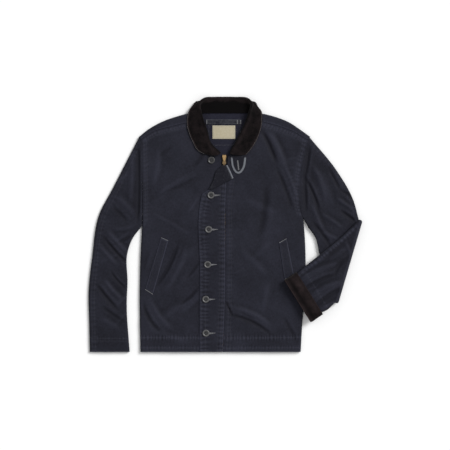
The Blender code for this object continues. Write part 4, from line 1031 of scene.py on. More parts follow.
def ring_columns(flat_count):
    """Columns of a two-piece sleeve: the upper piece from the seam to the inner edge, and the
    under piece from the seam round the outer edge and underneath to the inner edge."""
    upper = np.concatenate([flat_columns(flat_count, SLEEVE_SEAM, 1.0), edge_columns(np.linspace(12, 87, 7), True)])
    below = flat_columns(flat_count)
    below[:, 3] = -1.0
    from_seam = flat_columns(3, SLEEVE_SEAM - 0.001, 0.0)
    outer_edge = edge_columns(np.linspace(15, 165, 11), False)
    inner_edge = edge_columns(np.linspace(165, 93, 6), True)
    return upper, np.concatenate([from_seam, outer_edge, below, inner_edge])


def build_right_sleeve():
    """Right sleeve: a flattened tube straight down to its cuff."""
    cloth = bpy.context.scene.jacket_cloth
    surface = patch(
        along((RIGHT_SLEEVE_OUTER[0], RIGHT_SLEEVE_INNER[0])), along(RIGHT_SLEEVE_HEAD),
        along(RIGHT_SLEEVE_OUTER), along(RIGHT_SLEEVE_INNER),
    )
    rows = np.linspace(0.0, 1.0, steps(0.62, cloth.grid_step))
    upper, under = ring_columns(steps(0.11, cloth.grid_step))
    for name, columns, flip in (("sleeve_right_top", upper, False), ("sleeve_right_under", under, True)):
        pixels, level = section_places(surface, rows, columns, 1.0, 1.0)
        relief, wear_and_shading = seam_relief(pixels, RIGHT_SLEEVE_SEAMS)
        soft = cloth.fold_strength * (fold_height(pixels, RIGHT_SLEEVE_FOLDS) + rumple(pixels, 23))
        outer = lifted(pixels, HALF * (1 + level) + np.clip(level, 0, 1) * (soft + relief))
        facing = lifted(surface(1.0, rows), 0 * rows) - lifted(surface(0.0, rows), 0 * rows)
        # Fold tops faded, fold valleys darkened as painted shade
        wear_and_shading = wear_and_shading * np.clip(level, 0, 1) + fold_wear_and_shading(pixels, RIGHT_SLEEVE_FOLDS) - 0.07
        wear_and_shading += 0.5 * np.exp(-((352.0 - pixels[..., 1]) * PIXEL / 0.0032) ** 2)
        piece = wall(f"{name}_cloth", outer, CLOTH, jungle_cloth(), flip,
                     [((slice(None), -1), facing, 1.0)], wear_and_shading=wear_and_shading)
        settle(piece, name, "jungle_cloth")
        lay_sheet(outer)


def left_sleeve_grid(columns, size):
    """Outer points and wear_and_shading values of the left sleeve, with painted shade in its fold valleys: upper arm,
    half turn round the elbow fold, forearm.
    """
    cloth = bpy.context.scene.jacket_cloth
    upper = patch(
        along((UPPER_ARM_OUTER[0], UPPER_ARM_INNER[0])), along(LEFT_SLEEVE_HEAD),
        along(UPPER_ARM_OUTER), along(UPPER_ARM_INNER),
    )
    fore = patch(
        along((FOREARM_TOP[0], FOREARM_BOTTOM[0])), along((FOREARM_TOP[-1], FOREARM_BOTTOM[-1])),
        along(FOREARM_TOP), along(FOREARM_BOTTOM),
    )
    up = np.array([0.0, 0.0, 1.0])
    pixels, level = section_places(upper, np.linspace(1.0, 0.0, steps(0.26, size)), columns, 1.0, 1.0)
    relief, arm_wear_and_shading = seam_relief(pixels, UPPER_ARM_SEAMS)
    soft = cloth.fold_strength * (fold_height(pixels, UPPER_ARM_FOLDS) + rumple(pixels, 31)) + relief
    arm = lifted(pixels, HALF * (1 + level) + np.clip(level, 0, 1) * soft)
    # Fold valleys darkened as painted shade
    arm_wear_and_shading = np.clip(level, 0, 1) * arm_wear_and_shading + fold_wear_and_shading(pixels, UPPER_ARM_FOLDS) - 0.09
    last_soft = (np.clip(level, 0, 1) * soft)[-1]
    run = metres(UPPER_ARM_INNER[0]) - metres(UPPER_ARM_OUTER[0])
    run /= np.linalg.norm(run)
    normal = np.array([-run[1], run[0], 0.0])
    edge_pixels, edge_level = section_places(upper, np.array([0.02, 0.0]), columns, 1.0, 1.0)
    middle = lifted(edge_pixels[1], np.full(len(columns), HALF))
    turns = []
    for angle in np.radians(np.linspace(0, 180, 14)[1:-1]):
        centre = middle + FOLD_RADIUS * (math.sin(angle) * normal + (1 - math.cos(angle)) * up)
        across = math.cos(angle) * up - math.sin(angle) * normal
        fade = max(0.0, math.cos(angle))
        turns.append(centre + (HALF * edge_level[1] + last_soft * fade)[:, None] * across)
    rows = np.linspace(1.0, 0.0, steps(0.22, size))
    pixels, level = section_places(fore, rows, columns, 1.0, 1.0)
    relief, fore_wear_and_shading = seam_relief(pixels, FOREARM_SEAMS)
    begin = smoothstep(1 - rows, 0.0, 0.10)[:, None]
    soft = cloth.fold_strength * (fold_height(pixels, FOREARM_FOLDS) + begin * rumple(pixels, 37)) + relief
    rise = CUFF_RISE * smoothstep(1 - rows, 0.0, 0.7)[:, None]
    forearm = lifted(pixels, HALF * (1 - level) + 2 * FOLD_RADIUS + rise + np.clip(-level, 0, 1) * soft)
    # Fold valleys darkened as painted shade
    fore_wear_and_shading = np.clip(-level, 0, 1) * fore_wear_and_shading + fold_wear_and_shading(pixels, FOREARM_FOLDS) - 0.12
    turn_wear = np.full((len(turns), len(columns)), 0.06)
    return np.concatenate([arm, np.array(turns), forearm]), np.concatenate([arm_wear_and_shading, turn_wear, fore_wear_and_shading])


def build_left_sleeve():
    """Left sleeve folded at the elbow, in two pieces."""
    size = bpy.context.scene.jacket_cloth.grid_step
    upper, under = ring_columns(steps(0.18, size))
    for name, columns, flip in (("sleeve_left_top", upper, False), ("sleeve_left_under", under, True)):
        outer, wear_and_shading = left_sleeve_grid(columns, size)
        ends = left_sleeve_grid(np.concatenate([edge_columns((90,), False), edge_columns((90,), True)]), size)[0]
        piece = wall(f"{name}_cloth", outer, CLOTH, jungle_cloth(), flip,
                     [((slice(None), -1), ends[:, 1] - ends[:, 0], 1.0)], wear_and_shading=wear_and_shading)
        settle(piece, name, "jungle_cloth")
        lay_sheet(outer)


def build_cuff():
    """Turned-back corduroy cuff: a flattened ring round the forearm's end, its wales running round it."""
    cord = bpy.context.scene.jacket_cord
    ends = metres(np.array([FOREARM_TOP[0], FOREARM_BOTTOM[0]]))
    run = unit(ends[1] - ends[0])
    along_sleeve = np.array([-run[1], run[0]])
    radius = HALF + CORD_CLOTH + SEAM
    angle = np.linspace(0, 2 * math.pi, 241)[:-1]
    flat = (CUFF_WIDTH / 2 - radius) * np.clip(1.6 * np.cos(angle), -1.0, 1.0)
    middle = HALF + 2 * FOLD_RADIUS + CUFF_RISE
    count = steps(CUFF_LENGTH, cord.wale_pitch / 5)
    steps_along = np.linspace(-CUFF_BACK, CUFF_LENGTH - CUFF_BACK, count)
    share = np.linspace(0, 1, count)[:, None]
    lip = 1 - smoothstep(np.minimum(share, 1 - share), 0.0, 0.06)
    wale = np.abs(np.sin(math.pi * (steps_along[:, None] + CUFF_BACK) / cord.wale_pitch))
    wave = 0.0006 * np.sin(3 * angle + 5 * share) + 0.0004 * np.sin(7 * angle - 3 * share)
    swell = cord.wale_height * (wale - 1) + wave - 0.0008 * lip
    across = flat[None, :] + (radius + swell) * np.cos(angle)
    height = middle + (radius + swell) * np.sin(angle)
    plan = ends.mean(0) + along_sleeve * steps_along[:, None, None] + across[..., None] * run
    rings = np.concatenate([plan, height[..., None]], -1)
    wear_and_shading = 0.9 * np.exp(-((np.minimum(share, 1 - share) / 0.05) ** 2)) + 0.14 + 0 * height
    piece = wall("cuff_left_cord", rings, CORD_CLOTH, corduroy(), around=True, wear_and_shading=wear_and_shading)
    swap_uv(piece)
    settle(piece, "cuff_left", "brown_corduroy")
    lay_sheet(rings, True)


def swap_uv(piece):
    """Turns a piece's UV map a quarter, for wales that run along its rows."""
    layer = piece.data.uv_layers["cloth"]
    values = np.zeros(len(piece.data.loops) * 2, np.float32)
    layer.data.foreach_get("uv", values)
    layer.data.foreach_set("uv", values.reshape(-1, 2)[:, ::-1].ravel())


# Collar


def collar_grid(rows, columns_each):
    """Collar sections as points, with each column's share of the way from the seam to the edge:
    a quadratic curve from the seam to the roll, a half circle about it and a quadratic curve out."""
    table = smooth_table(np.array(COLLAR), np.linspace(0, 1, rows))
    seam = lifted(table[:, 0:2], table[:, 2])
    roll = lifted(table[:, 3:5], table[:, 5])
    edge = lifted(table[:, 7:9], table[:, 9])
    lean = np.radians(table[:, 6])[:, None]
    tangent = unit(np.gradient(roll[:, :2], axis=0))
    outward = np.stack([-tangent[:, 1], tangent[:, 0], 0 * tangent[:, 0]], 1)
    up = np.array([0.0, 0.0, 1.0])
    inside = np.cos(lean) * outward - np.sin(lean) * up
    stand_side = -np.sin(lean) * outward - np.cos(lean) * up
    first = roll + ROLL_RADIUS * stand_side
    last = roll - ROLL_RADIUS * stand_side
    stand, turn, fall = columns_each
    section = []
    bend = first + inside * COLLAR_BEND * np.linalg.norm(seam - first, axis=1)[:, None]
    for f in np.linspace(0, 1, stand)[:-1]:
        section.append((1 - f) ** 2 * seam + 2 * f * (1 - f) * bend + f * f * first)
    for angle in np.linspace(0, math.pi, turn):
        section.append(roll + ROLL_RADIUS * (math.cos(angle) * stand_side - math.sin(angle) * inside))
    bend = last + inside * COLLAR_BEND * np.linalg.norm(edge - last, axis=1)[:, None]
    for f in np.linspace(0, 1, fall)[1:]:
        section.append((1 - f) ** 2 * last + 2 * f * (1 - f) * bend + f * f * edge)
    return np.stack(section, 1)


def build_collar():
    """Collar of corduroy: stand, roll and fall as one wall, with wales along its length."""
    cord = bpy.context.scene.jacket_cord
    base = collar_grid(261, (34, 30, 52))
    across, _ = grid_lengths(base)
    from_edge = across[:, -1:] - across
    wale = np.abs(np.sin(math.pi * from_edge / cord.wale_pitch))
    t = np.linspace(0, 1, len(base))[:, None]
    share = across / across[:, -1:]
    ripple = 0.0007 * np.sin(2 * math.pi * 7 * t) * smoothstep(share, 0.55, 1.0)
    ripple = ripple + 0.0004 * np.sin(2 * math.pi * 17 * t + 6 * share) * smoothstep(share, 0.4, 1.0)
    band = np.exp(-(((from_edge - 0.0065) / 0.0012) ** 2))
    stitched = 0.0007 * band
    swell = cord.wale_height * (wale - 1) + ripple - stitched
    normals = -grid_normals(base)
    outer = base + swell[..., None] * normals
    outer[..., 2] = np.maximum(outer[..., 2], 0.0003)
    wear_and_shading = 0.9 * np.exp(-((from_edge / 0.0034) ** 2)) + 0.2 * np.exp(-(((share - 0.42) / 0.08) ** 2))
    # Painted shade: the stand inside the roll is darkened to stand for the shade there
    wear_and_shading -= 0.5 * (1 - smoothstep(share, 0.28, 0.48))
    piece = wall("collar_cord", outer, CORD_CLOTH, corduroy(), True, wear_and_shading=wear_and_shading)
    settle(piece, "collar", "brown_corduroy")
    lay_sheet(outer)


# Flat trims


def four_sided(outline, columns, rows):
    """Grid of plan pixels between four corners."""
    low_left, low_right, high_right, high_left = (np.array(p) for p in outline)
    surface = patch(along((low_left, low_right)), along((high_left, high_right)),
                    along((low_left, high_left)), along((low_right, high_right)))
    s, v = np.meshgrid(np.linspace(0, 1, columns), np.linspace(0, 1, rows))
    return surface(s, v)


def build_neck():
    """Neck lining, hanger loop and bare label."""
    inside = CLOTH + SEAM + LINING
    grid = four_sided(LINING_OUTLINE, 71, 66)
    height = inside + 0.5 * np.abs(rumple(grid, 5))
    piece = wall("neck_lining_cloth", lifted(grid, height), LINING, lining_cloth())
    settle(piece, "neck_lining", "navy_lining")
    lay_sheet(lifted(grid, height))
    for name, outline, thick, material, slot in (
        ("hanger_loop", LOOP_OUTLINE, LOOP_CLOTH, worn_cloth(), "jungle_cloth"),
        ("label", LABEL_OUTLINE, LABEL_CLOTH, label_cloth(), "cream_label"),
    ):
        grid = four_sided(outline, 81, 31)
        lean = 0.0 if name == "label" else 0.0006
        across = (grid[..., 0] - grid[..., 0].min()) / np.ptp(grid[..., 0])
        bow = lean * np.sin(math.pi * across)
        height = inside + SEAM + thick + bow - rounded_rim(grid, thick, 0.0012)
        wear_and_shading = -0.12 + 0.25 * np.exp(-((rim_distance(grid) / 0.0016) ** 2))
        piece = wall(f"{name}_cloth", lifted(grid, height + 0.5 * np.abs(rumple(grid, 5))), thick, material, wear_and_shading=wear_and_shading)
        settle(piece, name, slot)
        lay_sheet(lifted(grid, height))


def build_welts():
    """Slanted welts of the side pockets."""
    for name, outline in (("welt_right", RIGHT_WELT), ("welt_left", LEFT_WELT)):
        grid = four_sided(outline, 19, 75)
        rim = rim_distance(grid)
        v = np.linspace(0, 1, 75)[:, None]
        pucker = 0.00022 * np.sin(2 * math.pi * 14 * v) * np.exp(-((rim / 0.004) ** 2))
        height = front_height(grid) + SEAM + WELT_CLOTH - rounded_rim(grid, WELT_CLOTH, 0.0016) + pucker
        wear_and_shading = 0.75 * np.exp(-((rim / 0.0022) ** 2))
        piece = wall(f"{name}_cloth", lifted(grid, height), WELT_CLOTH, jungle_cloth(), wear_and_shading=wear_and_shading)
        settle(piece, name, "jungle_cloth")
        lay_sheet(lifted(grid, height))


def flap_height(pixels):
    """Height of the storm flap's upper face without its rim."""
    relief, _ = seam_relief(pixels, FLAP_SEAMS)
    return front_height(pixels) + SEAM + FLAP_CLOTH + relief + 0.0005


def build_flap():
    """Storm flap over the zip, with its top corner turned back to show the facing."""
    surface = patch(
        along((FLAP_FREE_EDGE[0], FLAP_ROOT[0])), along((FLAP_FOLD[-1], FLAP_ROOT[-1])),
        joined(FLAP_FREE_EDGE, FLAP_FOLD, FLAP_CORNER), along(FLAP_ROOT),
    )
    rows = np.concatenate([np.linspace(0, FLAP_CORNER, 230), np.linspace(FLAP_CORNER, 1.0, 38)[1:]])
    s, v = np.meshgrid(np.linspace(0, 1, 36), rows)
    pixels = surface(s, v)
    rim = rim_distance(pixels)
    _, wear_and_shading = seam_relief(pixels, FLAP_SEAMS)
    wear_and_shading += 0.55 * np.exp(-((rim / 0.0022) ** 2))
    outer = lifted(pixels, flap_height(pixels) - rounded_rim(pixels, FLAP_CLOTH, 0.0022))
    piece = wall("storm_flap_cloth", outer, FLAP_CLOTH, jungle_cloth(), wear_and_shading=wear_and_shading)
    settle(piece, "storm_flap", "jungle_cloth")
    lay_sheet(outer)
    facing = patch(
        along((FACING_FOLD[0], FACING_EDGE[0])), along((FACING_FOLD[-1], FACING_EDGE[-1])),
        along(FACING_FOLD), joined(FACING_EDGE[:2], FACING_EDGE[1:], 0.5),
    )
    s, v = np.meshgrid(np.linspace(0, 1, 41), np.linspace(0, 1, 41))
    pixels = facing(s, v)
    height = front_height(pixels) + 2 * SEAM + 2 * FLAP_CLOTH + FACING_PUFF * np.sin(np.pi * s)
    outer = lifted(pixels, height - rounded_rim(pixels, FLAP_CLOTH, 0.0018))
    worn_edge = dense(FACING_EDGE[1:], 20)
    wear_and_shading = 1.8 * np.exp(-((line_place(pixels, worn_edge)[0] / 0.0032) ** 2)) - 0.30
    piece = wall("flap_facing_cloth", outer, FLAP_CLOTH, worn_cloth(), wear_and_shading=wear_and_shading)
    settle(piece, "flap_facing", "navy_lining")
    lay_sheet(outer)


def build_tab():
    """Throat tab with its worn rim."""
    surface = patch(along(TAB_TIP), along((TAB_LEFT[-1], TAB_RIGHT[-1])), along(TAB_LEFT), along(TAB_RIGHT))
    s, v = np.meshgrid(np.linspace(0, 1, 45), np.linspace(0, 1, 53))
    grid = surface(s, v)
    rim = rim_distance(grid)
    height = front_height(grid) + SEAM + FLAP_CLOTH - rounded_rim(grid, FLAP_CLOTH, 0.0020)
    below = smoothstep(grid[..., 1], 156.5, 160.0)
    wear_and_shading = below * 2.4 * np.exp(-((rim / 0.0050) ** 6)) - 0.26
    piece = wall("throat_tab_cloth", lifted(grid, height), FLAP_CLOTH, worn_cloth(), wear_and_shading=wear_and_shading)
    settle(piece, "throat_tab", "jungle_cloth")
    lay_sheet(lifted(grid, height))


def worn_cloth():
    """Shell cloth rubbed down to its pale core along the rim."""
    cloth = bpy.context.scene.jacket_cloth
    return fabric("worn jungle cloth", woven_group(), tuple(cloth.dark), (0.150, 0.158, 0.178), cloth.weave_pitch, 0.00012)


# Fastenings


def build_zip():
    """Zip tape, its teeth and the finish of the slider and the pull."""
    line = curve(ZIP_LINE, np.linspace(0, 1, 190))
    half = ZIP_TAPE_WIDTH / 2 / PIXEL
    offsets = np.linspace(-half, half, 13)
    pixels = np.stack([line + np.array([offset, 0.0]) for offset in offsets], 1)
    cord = 0.0004 * np.exp(-(((np.abs(offsets) * PIXEL - 0.0016) / 0.0009) ** 2))
    outer = lifted(pixels, TAPE_TOP + np.broadcast_to(cord, pixels.shape[:2]))
    piece = wall("zip_tape_cloth", outer, TAPE_CLOTH, tape_cloth())
    settle(piece, "zip_tape", "zip_tape")
    lay_sheet(outer)
    places = curve(ZIP_LINE, np.linspace(0.0, 0.965, 352))
    side = np.where(np.arange(len(places)) % 2 == 0, -1.0, 1.0)
    centre = lifted(places, np.full(len(places), TAPE_TOP + 0.0006))
    centre[:, 0] += side * 0.0009
    teeth = add_boxes("zip_teeth", centre, (0.0021, 0.0009, 0.0011), brass())
    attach(teeth, BODY)
    for name, material in (("zip_slider", brass()), ("zip_pull", dark_brass())):
        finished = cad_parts[name]
        finished.data.materials.clear()
        finished.data.materials.append(material)


def add_boxes(name, centres, size, material):
    """Many small blocks with cut corners: eight-sided prisms about the given centres."""
    a = np.array([(-1, -0.5), (-0.6, -1), (0.6, -1), (1, -0.5), (1, 0.5), (0.6, 1), (-0.6, 1), (-1, 0.5)])
    ring = a * np.array(size[:2])
    low = np.concatenate([ring, np.full((8, 1), -size[2])], 1)
    high = np.concatenate([ring * 0.8, np.full((8, 1), size[2])], 1)
    block = np.concatenate([low, high])
    k = np.arange(8)
    after = (k + 1) % 8
    sides = np.stack([k, after, after + 8, k + 8], 1)
    top = np.array([(8, 9, 10, 11), (8, 11, 12, 15), (12, 13, 14, 15)])
    bottom = np.array([(3, 2, 1, 0), (7, 4, 3, 0), (7, 6, 5, 4)])
    faces = np.concatenate([sides, top, bottom])
    points = (centres[:, None, :] + block[None]).reshape(-1, 3)
    every = (faces[None] + 16 * np.arange(len(centres))[:, None, None]).reshape(-1, 4)
    return add_mesh(name, points, every, material, sharp=40.0)


def turned(profile, around):
    """Points and faces of a profile of radius and height turned about the upright axis."""
    profile = np.asarray(profile, float)
    angle = 2 * math.pi * np.arange(around) / around
    ring = np.stack([np.cos(angle), np.sin(angle)], 1)
    plan = profile[:, None, :1] * ring[None]
    height = np.broadcast_to(profile[:, 1][:, None, None], (*plan.shape[:2], 1))
    points = np.concatenate([plan, height], -1).reshape(-1, 3)
    index = np.arange(len(profile) * around).reshape(len(profile), around)
    index = np.concatenate([index, index[:, :1]], 1)
    faces = np.stack([index[:-1, :-1], index[:-1, 1:], index[1:, 1:], index[1:, :-1]], -1)
    return points, faces.reshape(-1, 4)


def build_buttons():
    """Six turned buttons with a raised rim, a dished middle, four holes and thread through them."""
    radius = BUTTON_DIAMETER / 2
    profile = smooth_profile((
        # share of the radius, share of the height
        (0.02, 0.0), (0.80, 0.0), (0.97, 0.28), (1.0, 0.55), (0.95, 0.90), (0.87, 1.0), (0.78, 0.94),
        (0.66, 0.70), (0.55, 0.62), (0.30, 0.60), (0.02, 0.60),
    ), 34)
    for number, pixel in enumerate(BUTTONS, 1):
        place = metres(pixel)
        on_flap = number > 1
        base = float(front_height(np.array(pixel))) + SEAM + (FLAP_CLOTH + SEAM if on_flap else 0.0)
        points, faces = turned(profile * (radius, BUTTON_HEIGHT), 56)
        points += (*place, base)
        # Painted highlight: the rim is coloured lighter; button 1, off the flap, gets less of it as painted shade
        rubbed = smoothstep(np.linalg.norm(points[:, :2] - place, axis=1) / radius, 0.42, 0.74)
        if not on_flap:
            rubbed = 0.45 * rubbed
        piece = add_mesh(f"button_{number}_resin", points, faces, button_resin(), wear_and_shading=rubbed)
        settle(piece, f"button_{number}", "dark_button")
        hole = 0.0019
        spots = np.array([(-hole, -hole), (hole, -hole), (hole, hole), (-hole, hole)])
        spots = np.concatenate([spots + place, np.full((4, 1), base + 0.60 * BUTTON_HEIGHT + 0.0001)], 1)
        start, end = spots[[0, 1]], spots[[2, 3]]
        sewn = add_stitches(f"button_{number}_thread", start, end, 0.00055, thread("button thread", (0.03, 0.03, 0.04), (0.09, 0.09, 0.10)), 0.0004)
        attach(sewn, BODY)


def smooth_profile(points, count):
    """A profile through points as a smooth curve."""
    return curve(points, np.linspace(0, 1, count))


def add_stitches(name, start, end, radius, material, arch=0.0003):
    """Thread between pairs of points: four-sided tubes of three rings with pointed ends, arched
    up in the middle."""
    run = end - start
    along_run = unit(run)
    side = unit(np.stack([-along_run[:, 1], along_run[:, 0], 0 * along_run[:, 0]], 1))
    above = np.cross(along_run, side)
    rings = []
    for f, share in ((0.12, 0.8), (0.5, 1.0), (0.88, 0.8)):
        centre = start + f * run + above * (arch * math.sin(math.pi * f))
        for angle in (0.0, 0.5 * math.pi, math.pi, 1.5 * math.pi):
            rings.append(centre + radius * share * (math.cos(angle) * side + math.sin(angle) * above))
    points = np.stack([start, *rings, end], 1)
    first = [(0, 1 + (k + 1) % 4, 1 + k, 1 + k) for k in range(4)]
    bands = [(1 + r * 4 + k, 1 + r * 4 + (k + 1) % 4, 5 + r * 4 + (k + 1) % 4, 5 + r * 4 + k) for r in (0, 1) for k in range(4)]
    last = [(13, 9 + k, 9 + (k + 1) % 4, 9 + (k + 1) % 4) for k in range(4)]
    quads = np.array(bands)
    triangles = np.array([f[:3] for f in first + last])
    count = len(start)
    shift = 14 * np.arange(count)[:, None, None]
    halves = np.concatenate([quads[:, [0, 1, 2]], quads[:, [0, 2, 3]], triangles])
    faces = (halves[None] + shift).reshape(-1, 3)
    return add_mesh(name, points.reshape(-1, 3), faces, material, sharp=60.0)


def ground_places(plan, carriers):
    """Heights of plan points in metres on top of the carrying pieces, found by rays from above."""
    trees = [BVHTree.FromPolygons(
        [v.co for v in bpy.data.objects[name].data.vertices],
        [tuple(p.vertices) for p in bpy.data.objects[name].data.polygons],
    ) for name in carriers]
    heights = []
    for x, y in plan:
        hits = [tree.ray_cast((x, y, 0.2), (0.0, 0.0, -1.0))[0] for tree in trees]
        heights.append(max((hit[2] for hit in hits if hit is not None), default=np.nan))
    return np.array(heights)


def sew(name, rows, carriers, material, pitch=None, radius=None, tight=0.72):
    """Rows of stitches along pixel lines on top of the carrying pieces."""
    settings = bpy.context.scene.jacket_thread
    pitch = pitch or settings.pitch
    radius = radius or settings.radius
    starts, ends = [], []
    for points in rows:
        line = metres(dense(points, 200))
        lengths = np.concatenate([[0.0], np.cumsum(np.linalg.norm(np.diff(line, axis=0), axis=1))])
        at = np.arange(0.0, lengths[-1] - pitch, pitch)
        place = lambda s: np.stack([np.interp(s, lengths, line[:, 0]), np.interp(s, lengths, line[:, 1])], 1)
        starts.append(place(at))
        ends.append(place(at + tight * pitch))
    start, end = np.concatenate(starts), np.concatenate(ends)
    low, high = ground_places(start, carriers), ground_places(end, carriers)
    good = ~(np.isnan(low) | np.isnan(high)) & (np.abs(np.nan_to_num(low - high)) < 0.002)
    start = np.concatenate([start, low[:, None]], 1)[good]
    end = np.concatenate([end, high[:, None]], 1)[good]
    piece = add_stitches(name, start, end, radius, material)
    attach(piece, BODY)
    return piece


def seam_lines(seams):
    """Points of each seam row."""
    return [row[0] for row in seams]


def build_stitching():
    """All rows of stitching, bar tacks and buttonholes."""
    shell = thread("shell thread", tuple(bpy.context.scene.jacket_thread.dark), tuple(bpy.context.scene.jacket_thread.pale))
    edge = thread("worn edge thread", (0.060, 0.058, 0.058), (0.170, 0.168, 0.170))
    pale = thread("pale thread", (0.08, 0.08, 0.09), (0.24, 0.24, 0.25))
    sew("body_stitching", seam_lines(BODY_SEAMS), ["front_right_cloth", "front_left_cloth"], shell)
    sew("flap_stitching", seam_lines(FLAP_SEAMS), ["storm_flap_cloth"], shell)
    sew("right_sleeve_stitching", seam_lines(RIGHT_SLEEVE_SEAMS), ["sleeve_right_top_cloth", "sleeve_right_under_cloth"], shell)
    sew("left_sleeve_stitching", seam_lines(UPPER_ARM_SEAMS + FOREARM_SEAMS),
        ["sleeve_left_top_cloth", "sleeve_left_under_cloth"], shell)
    base = collar_grid(261, (34, 30, 52))
    across, _ = grid_lengths(base)
    column = np.abs(across[:, -1:] - across - 0.0016).argmin(1)
    line = base[np.arange(len(base)), column, :2] / (PIXEL, -PIXEL) + CENTRE
    sew("collar_stitching", [line[:86], line[-86:]], ["collar_cord"], edge)
    welts = []
    for outline in (RIGHT_WELT, LEFT_WELT):
        corners = np.array(outline)
        middle = corners.mean(0)
        inset = middle + (corners - middle) * np.array([0.66, 0.95])
        welts += [inset[[0, 3]], inset[[1, 2]]]
    sew("welt_stitching", welts, ["welt_right_cloth", "welt_left_cloth"], shell)
    label = np.array(LABEL_OUTLINE)
    label_inset = label.mean(0) + (label - label.mean(0)) * np.array([0.93, 0.88])
    sew("label_stitching", [label_inset[[0, 1]], label_inset[[1, 2]], label_inset[[2, 3]], label_inset[[3, 0]]],
        ["label_cloth"], pale, 0.0026, 0.00022)
    sew("patch_stitching", [((208.8, 144.0), (208.8, 124.6)), ((240.2, 124.6), (240.2, 145.0)),
                            ((210.0, 145.0), (239.0, 145.0))], ["neck_lining_cloth"], pale, 0.0034, 0.00028)
    build_buttonholes(pale)


def build_buttonholes(pale):
    """Keyhole buttonholes beside the flap's buttons, the slit in the throat tab and bar tacks:
    rows of short thread laid side by side across their lines."""
    lines = []
    for pixel in BUTTONS[1:]:
        x, y = pixel
        lines.append(((x + 2.6, y + 0.3), (x + 9.4, y - 0.1), 0.0034, ["storm_flap_cloth"]))
    lines.append(((237.6, 160.5), (238.6, 170.0), 0.0020, ["throat_tab_cloth"]))
    for start, end in (((161.4, 237.8), (168.0, 240.6)), ((279.4, 242.8), (286.2, 238.8)),
                       ((145.2, 289.4), (152.8, 294.2)), ((284.8, 279.2), (293.4, 276.4))):
        lines.append((start, end, 0.0009, ["welt_right_cloth", "welt_left_cloth", "front_right_cloth", "front_left_cloth"]))
    for x in (206.6, 237.4, 240.6):
        lines.append(((x, 119.8), (x, 123.8), 0.0016, ["hanger_loop_cloth"]))
    for number, (start, end, reach, carriers) in enumerate(lines, 1):
        middle = metres(np.linspace(start, end, max(4, int(np.linalg.norm(np.subtract(end, start)) * PIXEL / 0.0005))))
        run = unit(middle[-1] - middle[0])
        side = np.array([-run[1], run[0]])
        taper = np.linspace(1.0, 0.15 if carriers == ["storm_flap_cloth"] else 1.0, len(middle))[:, None]
        first, last = middle - reach * taper * side, middle + reach * taper * side
        low, high = ground_places(first, carriers), ground_places(last, carriers)
        good = ~(np.isnan(low) | np.isnan(high))
        top = np.fmax(low, high)[good][:, None] + 0.0002
        piece = add_stitches(f"worked_thread_{number}", np.concatenate([first[good], top], 1),
                             np.concatenate([last[good], top], 1), 0.00032, pale, 0.0004)
        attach(piece, BODY)


# Stage


def build_stage():
    """Pale floor, soft studio light and the overhead camera."""
    stage = bpy.context.scene.jacket_stage
    reach = 12.0
    corners = np.array([(-reach, -reach, 0), (reach, -reach, 0), (reach, reach, 0), (-reach, reach, 0)], float)
    floor = add_mesh("floor", corners, np.array([(0, 1, 2, 3)]), floor_paint())
    world = bpy.data.worlds.new("studio")
    bpy.context.scene.world = world
    world.use_nodes = True
    world.node_tree.nodes["Background"].inputs[0].default_value = (1.0, 1.0, 1.0, 1.0)
    world.node_tree.nodes["Background"].inputs[1].default_value = stage.fill_strength
    for name, strength, azimuth, elevation, spread in (
        ("key", stage.key_strength, stage.key_azimuth, stage.key_elevation, stage.key_spread),
    ):
        light = bpy.data.lights.new(name, "SUN")
        light.energy = strength
        light.angle = spread
        lamp = bpy.data.objects.new(name, light)
        bpy.context.scene.collection.objects.link(lamp)
        lamp.rotation_euler = (math.pi / 2 - elevation, 0.0, azimuth)
    data = bpy.data.cameras.new("camera")
    data.lens = stage.lens
    data.sensor_width = 36.0
    camera = bpy.data.objects.new("camera", data)
    bpy.context.scene.collection.objects.link(camera)
    x, y = metres(PICTURE_MIDDLE)
    camera.location = (x, y, FRONT_TOP + PICTURE_SIDE * PIXEL * stage.lens / 36.0)
    bpy.context.scene.camera = camera
    bpy.context.scene.view_settings.view_transform = "Standard"


# Add-on


def colour_property(name, description, default):
    """A linear colour that the panel shows."""
    return bpy.props.FloatVectorProperty(
        name=name, description=description, default=default, size=3, min=0.0, max=1.0, subtype="COLOR"
    )


class JacketCloth(bpy.types.PropertyGroup):
    """Shell cloth."""

    grid_step: bpy.props.FloatProperty(
        name="Grid step", description="Size of the cells of the cloth's grids", default=0.0026, min=0.001,
        subtype="DISTANCE", unit="LENGTH",
    )
    fold_strength: bpy.props.FloatProperty(
        name="Fold strength", description="Scale of the height of all soft folds", default=1.1, min=0.0, max=2.0
    )
    weave_pitch: bpy.props.FloatProperty(
        name="Weave pitch", description="Distance between the ribs of the cloth", default=0.0012, min=0.0002,
        subtype="DISTANCE", unit="LENGTH",
    )
    dark: colour_property("Dark", "Unfaded shell cloth", (0.0074, 0.0075, 0.0132))
    faded: colour_property("Faded", "Faded shell cloth", (0.034, 0.0355, 0.0545))


class JacketCord(bpy.types.PropertyGroup):
    """Corduroy of the collar and cuff."""

    wale_pitch: bpy.props.FloatProperty(
        name="Wale pitch", description="Distance between the wales", default=0.0024, min=0.001,
        subtype="DISTANCE", unit="LENGTH",
    )
    wale_height: bpy.props.FloatProperty(
        name="Wale height", description="Depth of the grooves between wales", default=0.0005, min=0.0,
        subtype="DISTANCE", unit="LENGTH",
    )
    dark: colour_property("Dark", "Corduroy in its grooves and full nap", (0.0018, 0.0013, 0.0015))
    worn: colour_property("Worn", "Rubbed corduroy nap", (0.034, 0.0235, 0.0245))


